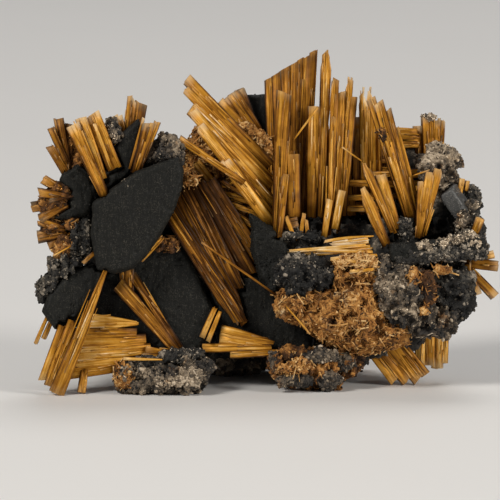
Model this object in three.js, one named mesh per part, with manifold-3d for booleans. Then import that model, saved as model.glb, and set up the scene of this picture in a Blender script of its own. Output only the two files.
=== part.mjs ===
// Rutile on hematite: a small mineral specimen of dark hematite tablets, granular crusts
// and sheaves of golden rutile laths that cross and fan over them.
// Millimetres. Every piece is laid out on a front view sheet that is tilted as the eye is:
// x runs right, y runs down and depth runs away from the eye. The whole group is then turned
// so that +Z is up and the specimen stands on its four feet at Z = 0.
import * as THREE from "three";
import { ConvexGeometry } from "three/addons/geometries/ConvexGeometry.js";
import { mergeVertices } from "three/addons/utils/BufferGeometryUtils.js";
import Module from "manifold-3d";

const VIEW_TILT = THREE.MathUtils.degToRad(8); // the sheet leans back by the eye's height
const FLOOR_DROP = 37.8; // the floor, measured down the sheet's middle depth
const MIDDLE_X = 26.5; // the sheet's x under the specimen's middle
const MIDDLE_Y = 4.175; // moves the specimen's middle onto the Y origin
const GAP = 0.3; // clearance between neighbouring pieces
const CHAMFER = 0.35; // worn edge of a hematite tablet
// Features smaller than these are dropped after cutting.
const CRUMB = { rutile: 0.06, hematite: 0.12, brown_crust: 0.19, grey_crust: 0.19, black_crust: 0.19 };
const MATRIX_CRUMB = 0.3;
const HALF_SPACE = 200; // a block larger than the specimen
const LUMP_CORNERS = 17; // corners of one lump of crust
const GOLDEN_ANGLE = 2.39996; // spreads those corners evenly

const wasm = await Module();
wasm.setup();

const materials = {
  rutile: new THREE.MeshStandardMaterial({ color: 0xb5822f, roughness: 0.45, metalness: 0.1 }),
  hematite: new THREE.MeshStandardMaterial({ color: 0x2b2f31, roughness: 0.5, metalness: 0.35 }),
  brown_crust: new THREE.MeshStandardMaterial({ color: 0x9a6233, roughness: 0.85, metalness: 0 }),
  grey_crust: new THREE.MeshStandardMaterial({ color: 0x5d5651, roughness: 0.8, metalness: 0.05 }),
  black_crust: new THREE.MeshStandardMaterial({ color: 0x1b1b1b, roughness: 0.45, metalness: 0.3 }),
};

// A three.js geometry as a solid that can be joined and cut.
function solidOf(geometry) {
  const bare = geometry.index ? geometry.toNonIndexed() : geometry.clone();
  bare.deleteAttribute("normal");
  bare.deleteAttribute("uv");
  const merged = mergeVertices(bare, 1e-4);
  return new wasm.Manifold(
    new wasm.Mesh({
      numProp: 3,
      vertProperties: merged.attributes.position.array,
      triVerts: new Uint32Array(merged.index.array),
    })
  );
}

function geometryOf(solid) {
  const mesh = solid.getMesh();
  const geometry = new THREE.BufferGeometry();
  geometry.setAttribute("position", new THREE.BufferAttribute(mesh.vertProperties, 3));
  geometry.setIndex(new THREE.BufferAttribute(mesh.triVerts, 1));
  geometry.computeVertexNormals();
  return geometry;
}

// One striated lath: foot x, y, depth, tip x, y, depth, width, thickness, then the shares of its
// width at the foot and the tip, how far the tip's cut slants, and its turn about its length.
function lath(row, grow) {
  const [fx, fy, fd, tx, ty, td, width, thick = 0.7] = row;
  const [footShare = 0.85, tipShare = 0.85, slant = 0, roll = 0] = row.slice(8);
  const foot = new THREE.Vector3(fx, fy, fd);
  const along = new THREE.Vector3(tx, ty, td).sub(foot);
  const length = along.length();
  along.normalize();
  const eye = new THREE.Vector3(0, 0, -1);
  const out = eye.addScaledVector(along, -eye.dot(along)).normalize();
  out.applyAxisAngle(along, THREE.MathUtils.degToRad(roll));
  const across = new THREE.Vector3().crossVectors(along, out);
  const taper = Math.min(length * 0.45, 2.2 * width * (1 - tipShare) + Math.abs(slant) / 2 + 0.05);
  const half = width / 2 + grow;
  const outline = new THREE.Shape();
  outline.moveTo(-half * footShare, -grow);
  outline.lineTo(half * footShare, -grow);
  outline.lineTo(half, length - taper);
  if (tipShare > 0.2) outline.lineTo(half * tipShare, length + grow + slant / 2);
  outline.lineTo(tipShare > 0.2 ? -half * tipShare : 0, length + grow - slant / 2);
  outline.lineTo(-half, length - taper);
  const depth = thick + 2 * grow;
  const body = new THREE.ExtrudeGeometry(outline, { depth, bevelEnabled: false });
  body.translate(0, 0, -depth / 2);
  body.applyMatrix4(new THREE.Matrix4().makeBasis(across, along, out).setPosition(foot));
  return solidOf(body);
}

// A hematite tablet: the outline of its broad face on the sheet, the depth of that face,
// its thickness away from the eye, and how fast its depth grows along x and y.
function tablet({ outline, depth, thick, lean = [0, 0] }, grow) {
  const shape = new THREE.Shape(outline.map(([x, y]) => new THREE.Vector2(x, y)));
  const middle = outline.reduce(([a, b], [x, y]) => [a + x / outline.length, b + y / outline.length], [0, 0]);
  const body = new THREE.ExtrudeGeometry(shape, {
    depth: thick - 2 * CHAMFER,
    bevelEnabled: true,
    bevelThickness: CHAMFER + grow,
    bevelSize: CHAMFER,
    bevelOffset: grow - CHAMFER,
    bevelSegments: 1,
  });
  body.translate(0, 0, depth + CHAMFER);
  const shear = new THREE.Matrix4().set(
    1, 0, 0, 0,
    0, 1, 0, 0,
    lean[0], lean[1], 1, -lean[0] * middle[0] - lean[1] * middle[1],
    0, 0, 0, 1
  );
  body.applyMatrix4(shear);
  return solidOf(body);
}

// A lump of crust with rough flat faces: centre x, y, depth, then its three half sizes.
function lump([x, y, depth, rx, ry, rz], grow) {
  const points = [];
  for (let i = 0; i < LUMP_CORNERS; i++) {
    const height = 1 - (2 * i + 1) / LUMP_CORNERS;
    const ring = Math.sqrt(1 - height * height);
    const angle = i * GOLDEN_ANGLE + 3 * x + y;
    const reach = 1.06 + 0.1 * Math.sin(7.3 * i + 5 * x + 3 * depth);
    points.push(
      new THREE.Vector3(
        x + (rx + grow) * reach * ring * Math.cos(angle),
        y + (ry + grow) * reach * height,
        depth + (rz + grow) * reach * ring * Math.sin(angle)
      )
    );
  }
  return solidOf(new ConvexGeometry(points));
}

// A block that is turned on the sheet: centre, sizes along x, y and depth, and its turns in degrees.
function block({ centre, size, turn = [0, 0, 0] }, grow) {
  const body = new THREE.BoxGeometry(size[0] + 2 * grow, size[1] + 2 * grow, size[2] + 2 * grow);
  const [a, b, c] = turn.map(THREE.MathUtils.degToRad);
  body.rotateX(a).rotateY(b).rotateZ(c).translate(...centre);
  return solidOf(body);
}

const makers = { laths: lath, tablets: tablet, lumps: lump, blocks: block };
const KINDS = Object.keys(makers);

// The pieces of the specimen, foremost claims first: a later piece is cut back from an earlier one.
const pieces = [
  // Left tower
  { name: "tower_left_spray", finish: "rutile", laths: [
    [10.6, 19.8, -9.4, 7.2, 12.2, -9.5, 1.2, 0.7, 0.7, 0.9, 0.1],
    [10.4, 18.2, -8.8, 8.1, 11.8, -8.9, 1.0, 0.8, 0.8, 0.9],
    [11.6, 17.0, -8.3, 9.2, 11.5, -8.4, 1.6, 0.9, 0.8, 1, 0.3],
  ] },
  { name: "tower_top_spray", finish: "rutile", laths: [
    [12.5, 16.2, -6.6, 13.2, 9.5, -6.4, 0.9, 0.8, 0.8, 0.35],
    [13.0, 16.4, -6.4, 14.1, 10.3, -6.2, 1.1, 0.9, 0.8, 0.9, -0.3],
    [12.6, 14.6, -6.8, 11.7, 11.5, -6.8, 0.9, 0.7, 0.9, 0.9],
  ] },
  { name: "tower_right_spray", finish: "rutile", laths: [
    [13.4, 17.6, -8.2, 15.0, 12.2, -8.2, 1.1, 0.7, 0.6, 0.9, 0.4],
    [13.8, 17.5, -8.0, 15.8, 12.2, -8.0, 0.6, 0.6, 0.6, 0.8],
  ] },
  { name: "edge_stubs_upper", finish: "rutile", laths: [
    [6.9, 17.4, -7.6, 5.9, 11.9, -7.8, 0.8, 0.8],
    [6.8, 16.4, -7.8, 5.2, 12.8, -8.2, 0.7, 0.7],
    [7.0, 17.8, -7.5, 5.1, 14.6, -8.0, 0.8, 0.8, 1, 0.6],
    [7.0, 15.6, -7.4, 6.8, 12.4, -7.2, 0.8, 0.8],
  ] },
  { name: "edge_stubs_middle", finish: "rutile", laths: [
    [6.9, 19.4, -8.0, 4.3, 17.9, -8.2, 0.8, 0.8],
    [6.9, 19.8, -8.2, 3.9, 19.3, -8.6, 0.8, 0.7],
    [6.9, 20.2, -7.8, 3.2, 20.7, -7.4, 0.9, 0.9],
    [6.8, 20.4, -8.0, 4.0, 21.9, -8.2, 0.8, 0.7],
  ] },
  { name: "edge_stubs_lower", finish: "rutile", laths: [
    [6.6, 23.0, -7.8, 3.9, 22.1, -8.0, 0.8, 0.8],
    [6.7, 23.2, -7.6, 3.8, 23.7, -7.8, 1.1, 0.8],
    [6.8, 23.4, -7.6, 5.0, 24.8, -7.6, 0.9, 0.8],
    [6.8, 23.2, -7.4, 5.8, 26.0, -7.9, 0.9, 0.8, 0.9, 0.5],
  ] },
  { name: "lower_left_sheaf", finish: "rutile", laths: [
    [10.6, 27.0, -9.4, 5.7, 39.35, -9.2, 1.5, 0.8, 0.25, 0.75],
    [7.4, 32.0, -8.9, 5.0, 38.6, -8.9, 0.9, 0.9, 0.9, 0.9],
    [6.5, 32.4, -8.6, 4.5, 38.1, -8.6, 1.0, 0.9, 0.9, 0.9, 0.3],
  ] },
  { name: "crossing_laths", finish: "rutile", laths: [
    [17.7, 35.2, -7.0, 11.8, 28.4, -7.4, 1.25, 0.7, 0.6, 1, 0.3],
    [18.0, 34.8, -6.7, 13.2, 27.4, -6.9, 0.8, 0.6, 0.8, 0.8],
    [12.8, 30.2, -6.8, 12.7, 26.7, -6.8, 1.4, 0.8],
  ] },
  { name: "level_fan_left", finish: "rutile", laths: [
    [13.9, 32.3, -7.5, 8.0, 32.3, -7.6, 2.0, 0.7, 0.2, 1],
    [13.9, 33.2, -7.6, 7.0, 33.3, -7.8, 0.9, 0.8, 0.8, 0.9],
    [14.7, 34.0, -7.5, 6.4, 34.4, -7.8, 1.2, 0.8],
    [15.2, 34.9, -7.5, 6.2, 35.5, -7.8, 1.2, 0.8],
    [12.8, 35.8, -7.6, 6.2, 36.5, -7.9, 1.1, 0.8],
    [12.2, 36.7, -7.6, 6.6, 37.4, -7.9, 1.0, 0.9],
    [8.5, 36.8, -8.0, 8.2, 39.2, -8.4, 0.75, 0.7],
  ] },
  // Middle and upper left
  { name: "centre_sheaf", finish: "rutile", laths: [
    [16.5, 20.6, -6.8, 24.0, 32.3, -6.4, 1.4, 0.8, 0.9, 0.4, -0.4],
    [16.8, 20.4, -5.6, 24.4, 32.2, -5.0, 1.4, 0.8, 0.9, 0.35, -0.5],
    [17.7, 19.4, -5.4, 24.5, 32.4, -4.8, 1.6, 0.9, 0.9, 0.3, 0.4],
    [18.7, 18.6, -5.1, 23.9, 28.9, -4.6, 1.6, 0.9, 0.9, 0.5, -0.6],
    [19.8, 18.2, -4.7, 25.1, 27.4, -4.3, 1.3, 0.9, 0.9, 0.7, -0.4],
    [20.9, 18.0, -4.3, 26.4, 26.6, -4.0, 1.3, 0.9, 0.9, 0.8, -0.4],
  ] },
  { name: "front_tall_laths", finish: "rutile", laths: [
    [27.7, 23.9, -5.3, 28.4, 9.2, -4.5, 1.3, 0.7, 0.6, 0.9, -0.4],
    [27.9, 23.8, -5.7, 28.5, 17.4, -5.3, 0.7, 0.7, 0.7, 0.6],
    [29.3, 21.8, -4.9, 29.2, 15.3, -4.8, 1.2, 0.7, 1, 1],
    [28.2, 22.6, -5.1, 29.8, 22.2, -4.9, 1.0, 0.7, 1, 1],
  ] },
  { name: "upper_left_sheaf", finish: "rutile", laths: [
    [27.0, 16.6, -2.9, 18.6, 7.9, -3.6, 1.0, 0.8, 1, 1, 0.3],
    [27.2, 18.0, -3.0, 18.5, 8.9, -4.0, 0.7, 0.8, 1, 0.5],
    [27.2, 18.8, -3.2, 19.1, 10.7, -4.4, 1.3, 0.9, 1, 0.7, 0.2],
    [27.4, 20.4, -3.4, 19.2, 11.1, -4.8, 0.9, 0.9, 1, 0.6],
    [27.4, 22.0, -3.6, 19.9, 12.6, -5.2, 0.9, 0.9, 1, 0.6],
    [27.4, 22.9, -4.0, 22.3, 16.0, -5.5, 1.0, 0.8, 1, 0.8],
    [24.4, 18.3, -5.3, 17.9, 13.9, -6.3, 0.7, 0.8, 0.8, 0.8],
  ] },
  { name: "upper_right_band", finish: "rutile", laths: [
    [26.7, 15.6, -1.6, 21.8, 10.2, -2.4, 1.1, 0.9, 1, 1, 0.2],
    [26.5, 14.6, -1.5, 22.7, 9.6, -2.2, 1.1, 0.9],
    [25.8, 13.0, -1.4, 23.3, 9.2, -2.0, 1.1, 0.9],
    [25.0, 11.6, -1.3, 23.9, 8.9, -1.8, 0.9, 0.9],
  ] },
  { name: "lattice_laths", finish: "rutile", laths: [
    [25.8, 24.2, -2.6, 19.6, 16.2, -2.6, 0.8, 0.7],
    [24.6, 24.8, -2.5, 18.8, 17.8, -2.5, 0.8, 0.7],
    [19.9, 18.6, -2.5, 26.0, 20.4, -2.6, 0.7, 0.7],
    [20.9, 21.2, -2.5, 26.2, 23.0, -2.7, 0.7, 0.7],
  ] },
  { name: "level_fan_centre", finish: "rutile", laths: [
    [27.4, 34.3, -5.3, 22.0, 33.4, -5.5, 1.7, 0.7, 0.2, 1],
    [27.4, 34.7, -5.3, 20.2, 34.8, -5.7, 0.8, 0.7, 0.6, 0.9],
    [30.0, 35.2, -5.1, 23.0, 35.4, -5.5, 0.8, 0.7, 0.4, 0.9],
  ] },
  // Tall blades of the middle
  { name: "tall_fan", finish: "rutile", laths: [
    [27.6, 23.0, -1.6, 27.0, 7.6, -1.6, 0.9, 0.8, 0.9, 1, 0.4],
    [28.6, 22.8, -1.8, 28.1, 7.0, -1.7, 1.4, 0.9, 0.8, 1, 0.7],
    [29.4, 22.4, -1.9, 29.4, 6.2, -1.7, 1.5, 0.9, 0.7, 1, 0.9],
    [30.1, 22.2, -1.8, 30.7, 5.4, -1.6, 1.4, 0.9, 0.6, 1, 0.7],
    [30.6, 22.0, -1.7, 31.4, 5.0, -1.5, 0.7, 0.8, 0.6, 1, 0.4],
  ] },
  { name: "spear", finish: "rutile", laths: [
    [32.0, 21.8, -3.2, 32.7, 4.9, -3.0, 1.0, 0.8, 0.6, 0.2],
    [31.2, 21.8, -3.1, 31.5, 10.6, -2.9, 1.1, 0.8, 0.8, 0.8],
  ] },
  { name: "tall_prongs", finish: "rutile", laths: [
    [32.9, 23.7, -4.0, 33.5, 7.8, -3.4, 0.7, 0.7, 0.5, 0.3],
    [33.4, 22.8, -3.6, 34.1, 9.0, -3.1, 0.9, 0.8, 0.6, 0.8, 0.3],
    [33.8, 23.4, -3.4, 35.0, 7.8, -2.8, 0.6, 0.7, 0.5, 0.3],
    [34.3, 21.6, -3.3, 35.2, 9.6, -2.8, 1.0, 0.8, 0.6, 0.7],
  ] },
  { name: "pale_tipped_spray", finish: "rutile", laths: [
    [35.8, 19.6, -1.6, 35.8, 11.6, -1.6, 1.0, 0.8, 0.9, 0.6],
    [36.6, 19.4, -1.8, 36.3, 8.9, -1.8, 0.8, 0.7, 1, 0.2],
    [37.3, 19.4, -1.7, 37.0, 9.0, -1.7, 0.9, 0.8, 1, 0.25],
    [37.9, 19.6, -1.5, 37.7, 11.5, -1.5, 0.8, 0.8, 1, 0.8],
  ] },
  { name: "leaning_blade", finish: "rutile", laths: [
    [40.9, 22.2, -3.8, 37.1, 9.8, -4.0, 0.8, 0.9, 0.8, 1, 0.2],
    [41.3, 22.4, -4.0, 37.8, 10.2, -4.2, 1.0, 0.9, 0.8, 1, 0.3],
    [41.5, 21.9, -3.7, 38.7, 11.0, -3.9, 0.9, 0.8, 0.8, 0.8, 0.4],
    [41.6, 20.4, -3.4, 39.5, 12.9, -3.6, 0.8, 0.8, 0.9, 0.8, 0.4],
  ] },
  { name: "front_left_vee", finish: "rutile", laths: [
    [39.4, 23.4, -5.4, 36.3, 16.2, -5.1, 0.8, 0.7, 0.8, 0.3],
    [38.7, 24.6, -5.9, 36.2, 18.8, -5.6, 1.2, 0.8, 0.7, 0.4, 0.3],
    [39.7, 23.0, -4.9, 38.0, 17.4, -4.7, 1.0, 0.7],
  ] },
  { name: "front_right_vee", finish: "rutile", laths: [
    [41.8, 23.9, -5.2, 42.2, 18.0, -4.9, 0.7, 0.7, 0.6, 0.6],
    [41.9, 23.9, -5.3, 43.1, 17.2, -5.0, 0.8, 0.7, 0.6, 0.6],
    [42.1, 23.8, -5.2, 43.9, 16.9, -4.9, 0.8, 0.7, 0.6, 0.6],
  ] },
  { name: "rear_block", finish: "rutile", laths: [
    [42.3, 18.4, 0.8, 41.9, 12.5, 0.9, 0.9, 0.9, 1, 0.9],
    [43.0, 18.2, 0.6, 42.9, 11.3, 0.8, 1.1, 1, 1, 1, 0.1],
    [43.7, 18.2, 0.8, 43.7, 11.7, 0.9, 0.9, 1, 1, 1],
    [44.1, 17.4, 0.9, 44.4, 11.9, 1.0, 0.5, 0.6, 1, 0.6],
  ] },
  { name: "rear_rungs", finish: "rutile", laths: [
    [41.5, 13.2, -0.1, 38.4, 13.1, -0.1, 0.7, 0.7],
    [41.5, 14.4, -0.1, 38.2, 14.4, -0.1, 0.7, 0.7],
    [39.2, 16.0, -0.1, 34.8, 15.8, -0.2, 0.7, 0.7],
    [41.4, 18.2, -0.2, 34.8, 18.3, -0.3, 0.7, 0.7],
    [39.6, 20.7, -0.5, 33.8, 20.6, -0.6, 0.8, 0.8],
    [39.2, 21.6, 0.3, 38.8, 12.8, 0.4, 0.9, 0.8],
    [36.5, 21.6, 0.3, 36.2, 14.6, 0.3, 0.9, 0.8],
  ] },
  { name: "bright_bar", finish: "rutile", laths: [
    [37.2, 24.8, -7.2, 29.3, 25.3, -7.4, 0.7, 0.6, 0.9, 0.3],
    [37.0, 24.2, -7.1, 33.2, 24.3, -7.2, 0.7, 0.6],
  ] },
  // Right side
  { name: "right_fingers", finish: "rutile", laths: [
    [46.4, 26.2, -5.4, 49.8, 26.6, -5.8, 0.9, 0.8, 1, 0.8],
    [46.5, 26.6, -5.3, 49.5, 29.7, -5.4, 0.9, 0.8, 0.9, 0.8],
    [46.5, 26.4, -5.6, 47.7, 29.5, -6.2, 0.8, 0.7, 0.9, 0.7],
    [46.4, 26.1, -5.2, 49.4, 25.4, -5.0, 0.7, 0.7],
  ] },
  { name: "lower_right_sheaf", finish: "rutile", laths: [
    [36.2, 33.6, -3.4, 39.6, 38.0, -2.6, 1.2, 0.9, 0.9, 0.9, 0.3],
    [37.2, 33.6, -3.3, 40.7, 38.2, -2.4, 1.2, 0.9, 0.9, 0.9, 0.3],
    [38.3, 33.4, -3.2, 41.9, 37.9, -2.3, 1.2, 0.9, 0.9, 0.8, 0.3],
    [39.3, 33.4, -3.1, 42.6, 37.5, -2.2, 0.9, 0.8],
  ] },
  { name: "lower_right_comb", finish: "rutile", laths: [
    [42.2, 32.0, -1.4, 42.0, 36.9, -1.0, 0.9, 0.9, 1, 0.8],
    [43.0, 32.0, -1.4, 43.0, 36.6, -1.0, 1.0, 0.9, 1, 0.7],
    [43.8, 32.0, -1.4, 43.8, 36.9, -1.0, 1.0, 0.9, 1, 0.8],
    [44.5, 32.0, -1.4, 44.4, 36.4, -1.0, 0.8, 0.9, 1, 0.9],
  ] },
  // Back
  { name: "back_left_sheaf", finish: "rutile", laths: [
    [20.2, 26.8, 6.2, 11.0, 16.8, 8.2, 1.4, 0.9, 0.9, 0.8, 0.4],
    [20.8, 26.4, 6.3, 12.9, 15.0, 8.6, 1.4, 0.9, 0.9, 0.7, 0.4],
    [21.5, 26.2, 6.1, 14.9, 14.2, 8.3, 1.4, 0.9, 0.9, 0.8, -0.4],
    [22.2, 26.2, 5.9, 17.0, 15.2, 7.8, 1.3, 0.9, 0.9, 0.6, 0.3],
  ] },
  { name: "back_tall_sheaf", finish: "rutile", laths: [
    [29.8, 24.0, 3.6, 28.2, 10.8, 4.6, 1.4, 0.9, 0.9, 0.7, 0.5],
    [30.8, 24.0, 3.8, 30.1, 8.9, 4.8, 1.5, 0.9, 0.9, 0.8, -0.5],
    [31.9, 24.0, 3.6, 32.3, 11.4, 4.6, 1.4, 0.9, 0.9, 0.6, 0.4],
    [32.9, 24.0, 3.4, 34.3, 13.2, 4.2, 1.2, 0.9, 0.9, 0.8],
  ] },
  { name: "back_right_sheaf", finish: "rutile", laths: [
    [40.4, 29.0, 5.4, 44.6, 19.4, 6.2, 1.3, 0.9, 0.9, 0.8, 0.4],
    [39.4, 28.2, 5.8, 42.2, 15.8, 6.8, 1.2, 0.9, 0.9, 0.7, -0.4],
    [38.2, 25.0, 5.9, 40.2, 17.2, 6.9, 1.0, 0.9, 0.9, 0.8, 0.3],
  ] },
  { name: "back_level_fan", finish: "rutile", laths: [
    [21.6, 31.2, 7.0, 10.6, 30.0, 7.6, 1.4, 0.9, 0.9, 0.8, 0.4],
    [21.6, 32.2, 7.1, 9.8, 31.7, 7.7, 1.4, 0.9, 0.9, 0.7, -0.4],
    [21.6, 33.2, 7.0, 11.2, 33.3, 7.5, 1.3, 0.9, 0.9, 0.8],
  ] },
  { name: "back_lower_laths", finish: "rutile", laths: [
    [33.6, 27.4, 6.2, 37.4, 35.9, 7.2, 1.3, 0.9, 0.9, 0.8, 0.4],
    [34.8, 27.2, 6.0, 39.8, 34.3, 7.0, 1.1, 0.9, 0.9, 0.7],
  ] },
  // Hematite tablets
  { name: "front_tablet", finish: "hematite", tablets: [
    { outline: [[9.4, 20.3], [9.2, 23.4], [9.8, 26.9], [11.6, 27.3], [13.4, 26.8], [14.6, 25.6], [15.7, 24.1],
      [16.7, 22.4], [17.6, 20.6], [18.2, 18.8], [18.4, 17.0], [17.8, 15.8], [15.9, 16.4], [13.6, 17.2],
      [11.4, 18.8]],
      depth: -9.8, thick: 2.6, lean: [0.12, 0.02] },
  ] },
  { name: "upper_left_tablet", finish: "hematite", tablets: [
    { outline: [[6.2, 17.4], [7.8, 16.5], [9.2, 17.7], [9.7, 19.9], [9.0, 21.4], [7.0, 22.0], [5.2, 21.8], [5.6, 19.4]],
      depth: -8.6, thick: 1.8, lean: [0.1, 0] },
  ] },
  { name: "notch_tablets", finish: "hematite", tablets: [
    { outline: [[8.9, 14.4], [10.2, 14.9], [11.6, 17.4], [11.6, 19.4], [10.4, 19.8], [9.3, 16.8]],
      depth: -8.7, thick: 1.6 },
    { outline: [[11.9, 13.6], [13.8, 12.0], [14.4, 12.9], [13.4, 17.2], [12.2, 19.0], [11.0, 19.0], [11.2, 16.0]],
      depth: -8.0, thick: 1.6 },
  ] },
  { name: "lower_left_tablet", finish: "hematite", tablets: [
    { outline: [[7.6, 26.8], [9.3, 26.4], [10.6, 27.2], [9.2, 30.0], [7.2, 32.6], [5.6, 32.9], [4.3, 31.1], [5.0, 29.3]],
      depth: -8.7, thick: 1.8, lean: [0, -0.05] },
  ] },
  { name: "middle_tablet", finish: "hematite", tablets: [
    { outline: [[9.4, 28.6], [13.2, 25.6], [15.2, 24.2], [17.3, 23.6], [18.8, 25.6], [20.6, 29.4], [21.8, 31.6],
      [20.5, 34.4], [18.6, 35.6], [14.8, 35.6], [9.4, 33.6]], depth: -6.0, thick: 2.4 },
  ] },
  { name: "lower_centre_tablet", finish: "hematite", tablets: [
    { outline: [[20.6, 30.0], [22.6, 26.6], [24.4, 26.4], [27.6, 29.2], [29.4, 31.0], [31.4, 33.6], [31.0, 35.4],
      [27.0, 35.4], [22.0, 34.6]], depth: -4.4, thick: 2.4, lean: [0.04, 0] },
  ] },
  { name: "top_tablet", finish: "hematite", tablets: [
    { outline: [[24.7, 9.4], [27.3, 9.3], [27.9, 13.0], [28.2, 17.6], [26.6, 17.8], [25.9, 13.6]],
      depth: -0.6, thick: 1.6 },
  ] },
  { name: "glinting_tablet", finish: "hematite", tablets: [
    { outline: [[25.0, 21.4], [27.6, 22.9], [28.9, 25.4], [28.5, 28.0], [27.2, 29.7], [25.9, 27.8], [25.2, 25.0]],
      depth: -6.0, thick: 1.6, lean: [-0.1, 0] },
  ] },
  { name: "shelf_tablet", finish: "hematite", blocks: [
    { centre: [43.7, 25.2, -4.6], size: [9.2, 1.7, 7.4], turn: [-4, 0, -3] },
    { centre: [40.6, 23.3, -4.2], size: [1.9, 3.0, 1.4], turn: [0, 12, 4] },
  ] },
  { name: "facet_crystal", finish: "hematite", blocks: [
    { centre: [45.6, 20.2, -4.0], size: [1.5, 2.9, 1.8], turn: [8, 24, -32] },
  ] },
  { name: "back_left_tablet", finish: "hematite", tablets: [
    { outline: [[10.4, 23.6], [14.8, 20.2], [20.0, 21.4], [22.8, 26.4], [19.6, 31.0], [12.2, 29.8]],
      depth: 3.2, thick: 3.4, lean: [0.14, -0.12] },
  ] },
  { name: "back_right_tablet", finish: "hematite", tablets: [
    { outline: [[30.2, 24.4], [33.2, 20.4], [39.4, 19.4], [42.9, 23.8], [40.6, 30.2], [33.4, 30.8]],
      depth: 3.8, thick: 3.2, lean: [-0.16, 0.08] },
  ] },
  // Crusts
  { name: "tower_knob", finish: "grey_crust", lumps: [
    [16.7, 15.6, -6.8, 1.7, 2.2, 1.6],
  ] },
  { name: "tower_top_crust", finish: "grey_crust", lumps: [
    [11.3, 13.3, -7.4, 1.2, 1.5, 1.2],
  ] },
  { name: "left_crust", finish: "black_crust", lumps: [
    [7.7, 23.6, -7.0, 1.8, 2.9, 1.6],
    [6.6, 26.8, -7.6, 1.8, 1.9, 1.5],
    [5.2, 28.9, -7.4, 1.4, 1.9, 1.4],
  ] },
  { name: "left_foot_crust", finish: "grey_crust", lumps: [
    [12.8, 37.5, -8.2, 1.2, 1.8, 1.4],
    [15.2, 37.9, -7.8, 2.4, 1.9, 2.2],
    [18.2, 37.8, -8.0, 2.4, 1.8, 2.2],
    [20.3, 36.9, -7.4, 1.2, 1.0, 1.5],
  ] },
  { name: "centre_foot_crust", finish: "brown_crust", lumps: [
    [29.3, 36.5, -6.0, 2.5, 2.0, 2.2],
    [32.0, 37.1, -5.4, 2.4, 2.2, 2.2],
    [34.3, 35.9, -5.0, 2.2, 1.7, 2.0],
  ] },
  { name: "brown_crust", finish: "brown_crust", lumps: [
    [30.2, 30.4, -6.5, 2.8, 1.7, 1.9],
    [33.2, 31.6, -6.6, 3.2, 2.7, 2.4],
    [35.8, 31.6, -6.8, 3.2, 3.5, 2.7],
    [38.2, 33.0, -6.2, 2.6, 2.0, 2.2],
    [35.6, 27.4, -6.6, 2.6, 2.3, 1.8],
  ] },
  { name: "brown_mat", finish: "brown_crust", lumps: [
    [20.6, 15.4, -1.6, 2.1, 2.6, 1.3],
    [21.2, 18.6, -1.0, 2.9, 2.9, 1.4],
    [24.2, 20.6, -0.9, 2.9, 2.9, 1.4],
  ] },
  { name: "dark_crust", finish: "black_crust", lumps: [
    [30.4, 27.4, -6.8, 2.8, 2.6, 1.9],
  ] },
  { name: "grey_crust", finish: "grey_crust", lumps: [
    [40.3, 29.8, -7.0, 3.3, 3.4, 2.4],
    [43.2, 32.0, -6.2, 2.6, 2.0, 2.2],
    [38.8, 27.3, -7.0, 1.9, 1.7, 1.6],
  ] },
  { name: "right_black_crust", finish: "black_crust", lumps: [
    [45.4, 29.2, -5.6, 2.3, 3.4, 2.5],
  ] },
  { name: "right_knob", finish: "grey_crust", lumps: [
    [43.9, 16.6, -2.4, 2.1, 2.2, 1.9],
    [44.6, 18.8, -1.9, 1.5, 1.8, 1.7],
  ] },
  { name: "right_edge_crust", finish: "black_crust", lumps: [
    [46.4, 20.6, -1.6, 1.5, 2.6, 1.9],
    [47.0, 23.2, -2.6, 1.4, 1.9, 2.1],
  ] },
  { name: "back_foot_crust", finish: "grey_crust", lumps: [
    [23.0, 35.4, 5.2, 4.4, 2.7, 3.6],
    [30.0, 35.0, 5.0, 4.6, 2.9, 3.4],
  ] },
  { name: "matrix", finish: "black_crust", lumps: [
    [12.2, 21.2, -3.4, 5.6, 7.2, 3.0],
    [13.6, 29.2, -0.8, 6.6, 5.8, 3.6],
    [23.0, 28.8, 0.0, 7.4, 6.8, 3.8],
    [33.0, 27.6, 0.0, 8.4, 6.6, 4.2],
    [41.2, 26.6, -0.4, 5.6, 6.8, 4.4],
    [26.0, 19.0, 0.8, 5.4, 5.0, 2.6],
  ] },
];

// Everything under the floor, laid out on the leaning sheet.
const belowFloor = solidOf(
  new THREE.BoxGeometry(HALF_SPACE, HALF_SPACE, HALF_SPACE)
    .translate(0, FLOOR_DROP + HALF_SPACE / 2, 0)
    .rotateX(VIEW_TILT)
);

// The members of a piece joined in one solid, each grown outwards by grow.
function joined(piece, grow) {
  const members = KINDS.flatMap((kind) => (piece[kind] ?? []).map((member) => makers[kind](member, grow)));
  return wasm.Manifold.union(members);
}

// The plain envelope of a solid.
function envelopeOf(solid) {
  const corners = geometryOf(solid).attributes.position;
  const points = [];
  for (let i = 0; i < corners.count; i++) points.push(new THREE.Vector3().fromBufferAttribute(corners, i));
  return solidOf(new ConvexGeometry(points));
}

// How much of a solid the pieces before it leave. Crust stands back from the envelope of a whole
// sheaf rather than from each lath, and the matrix from the envelope of every piece.
function cutBack(solid, piece, claimed) {
  const isMatrix = piece.name === "matrix";
  const isCrust = piece.finish.endsWith("crust");
  for (const { form, finish } of claimed) {
    const plain = isMatrix || (isCrust && finish === "rutile");
    solid = solid.subtract(plain ? envelopeOf(form) : form);
  }
  return largestBody(solid.simplify(isMatrix ? MATRIX_CRUMB : CRUMB[piece.finish]));
}

function largestBody(solid) {
  return solid.decompose().reduce((best, body) => (body.volume() > best.volume() ? body : best));
}

// Each piece in turn, cut back from the pieces before it by the clearance.
function cutPieces() {
  const claimed = [];
  return pieces.map((piece) => {
    const solid = cutBack(joined(piece, 0).subtract(belowFloor), piece, claimed);
    claimed.push({ form: joined(piece, GAP), finish: piece.finish });
    return { ...piece, solid };
  });
}

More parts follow.
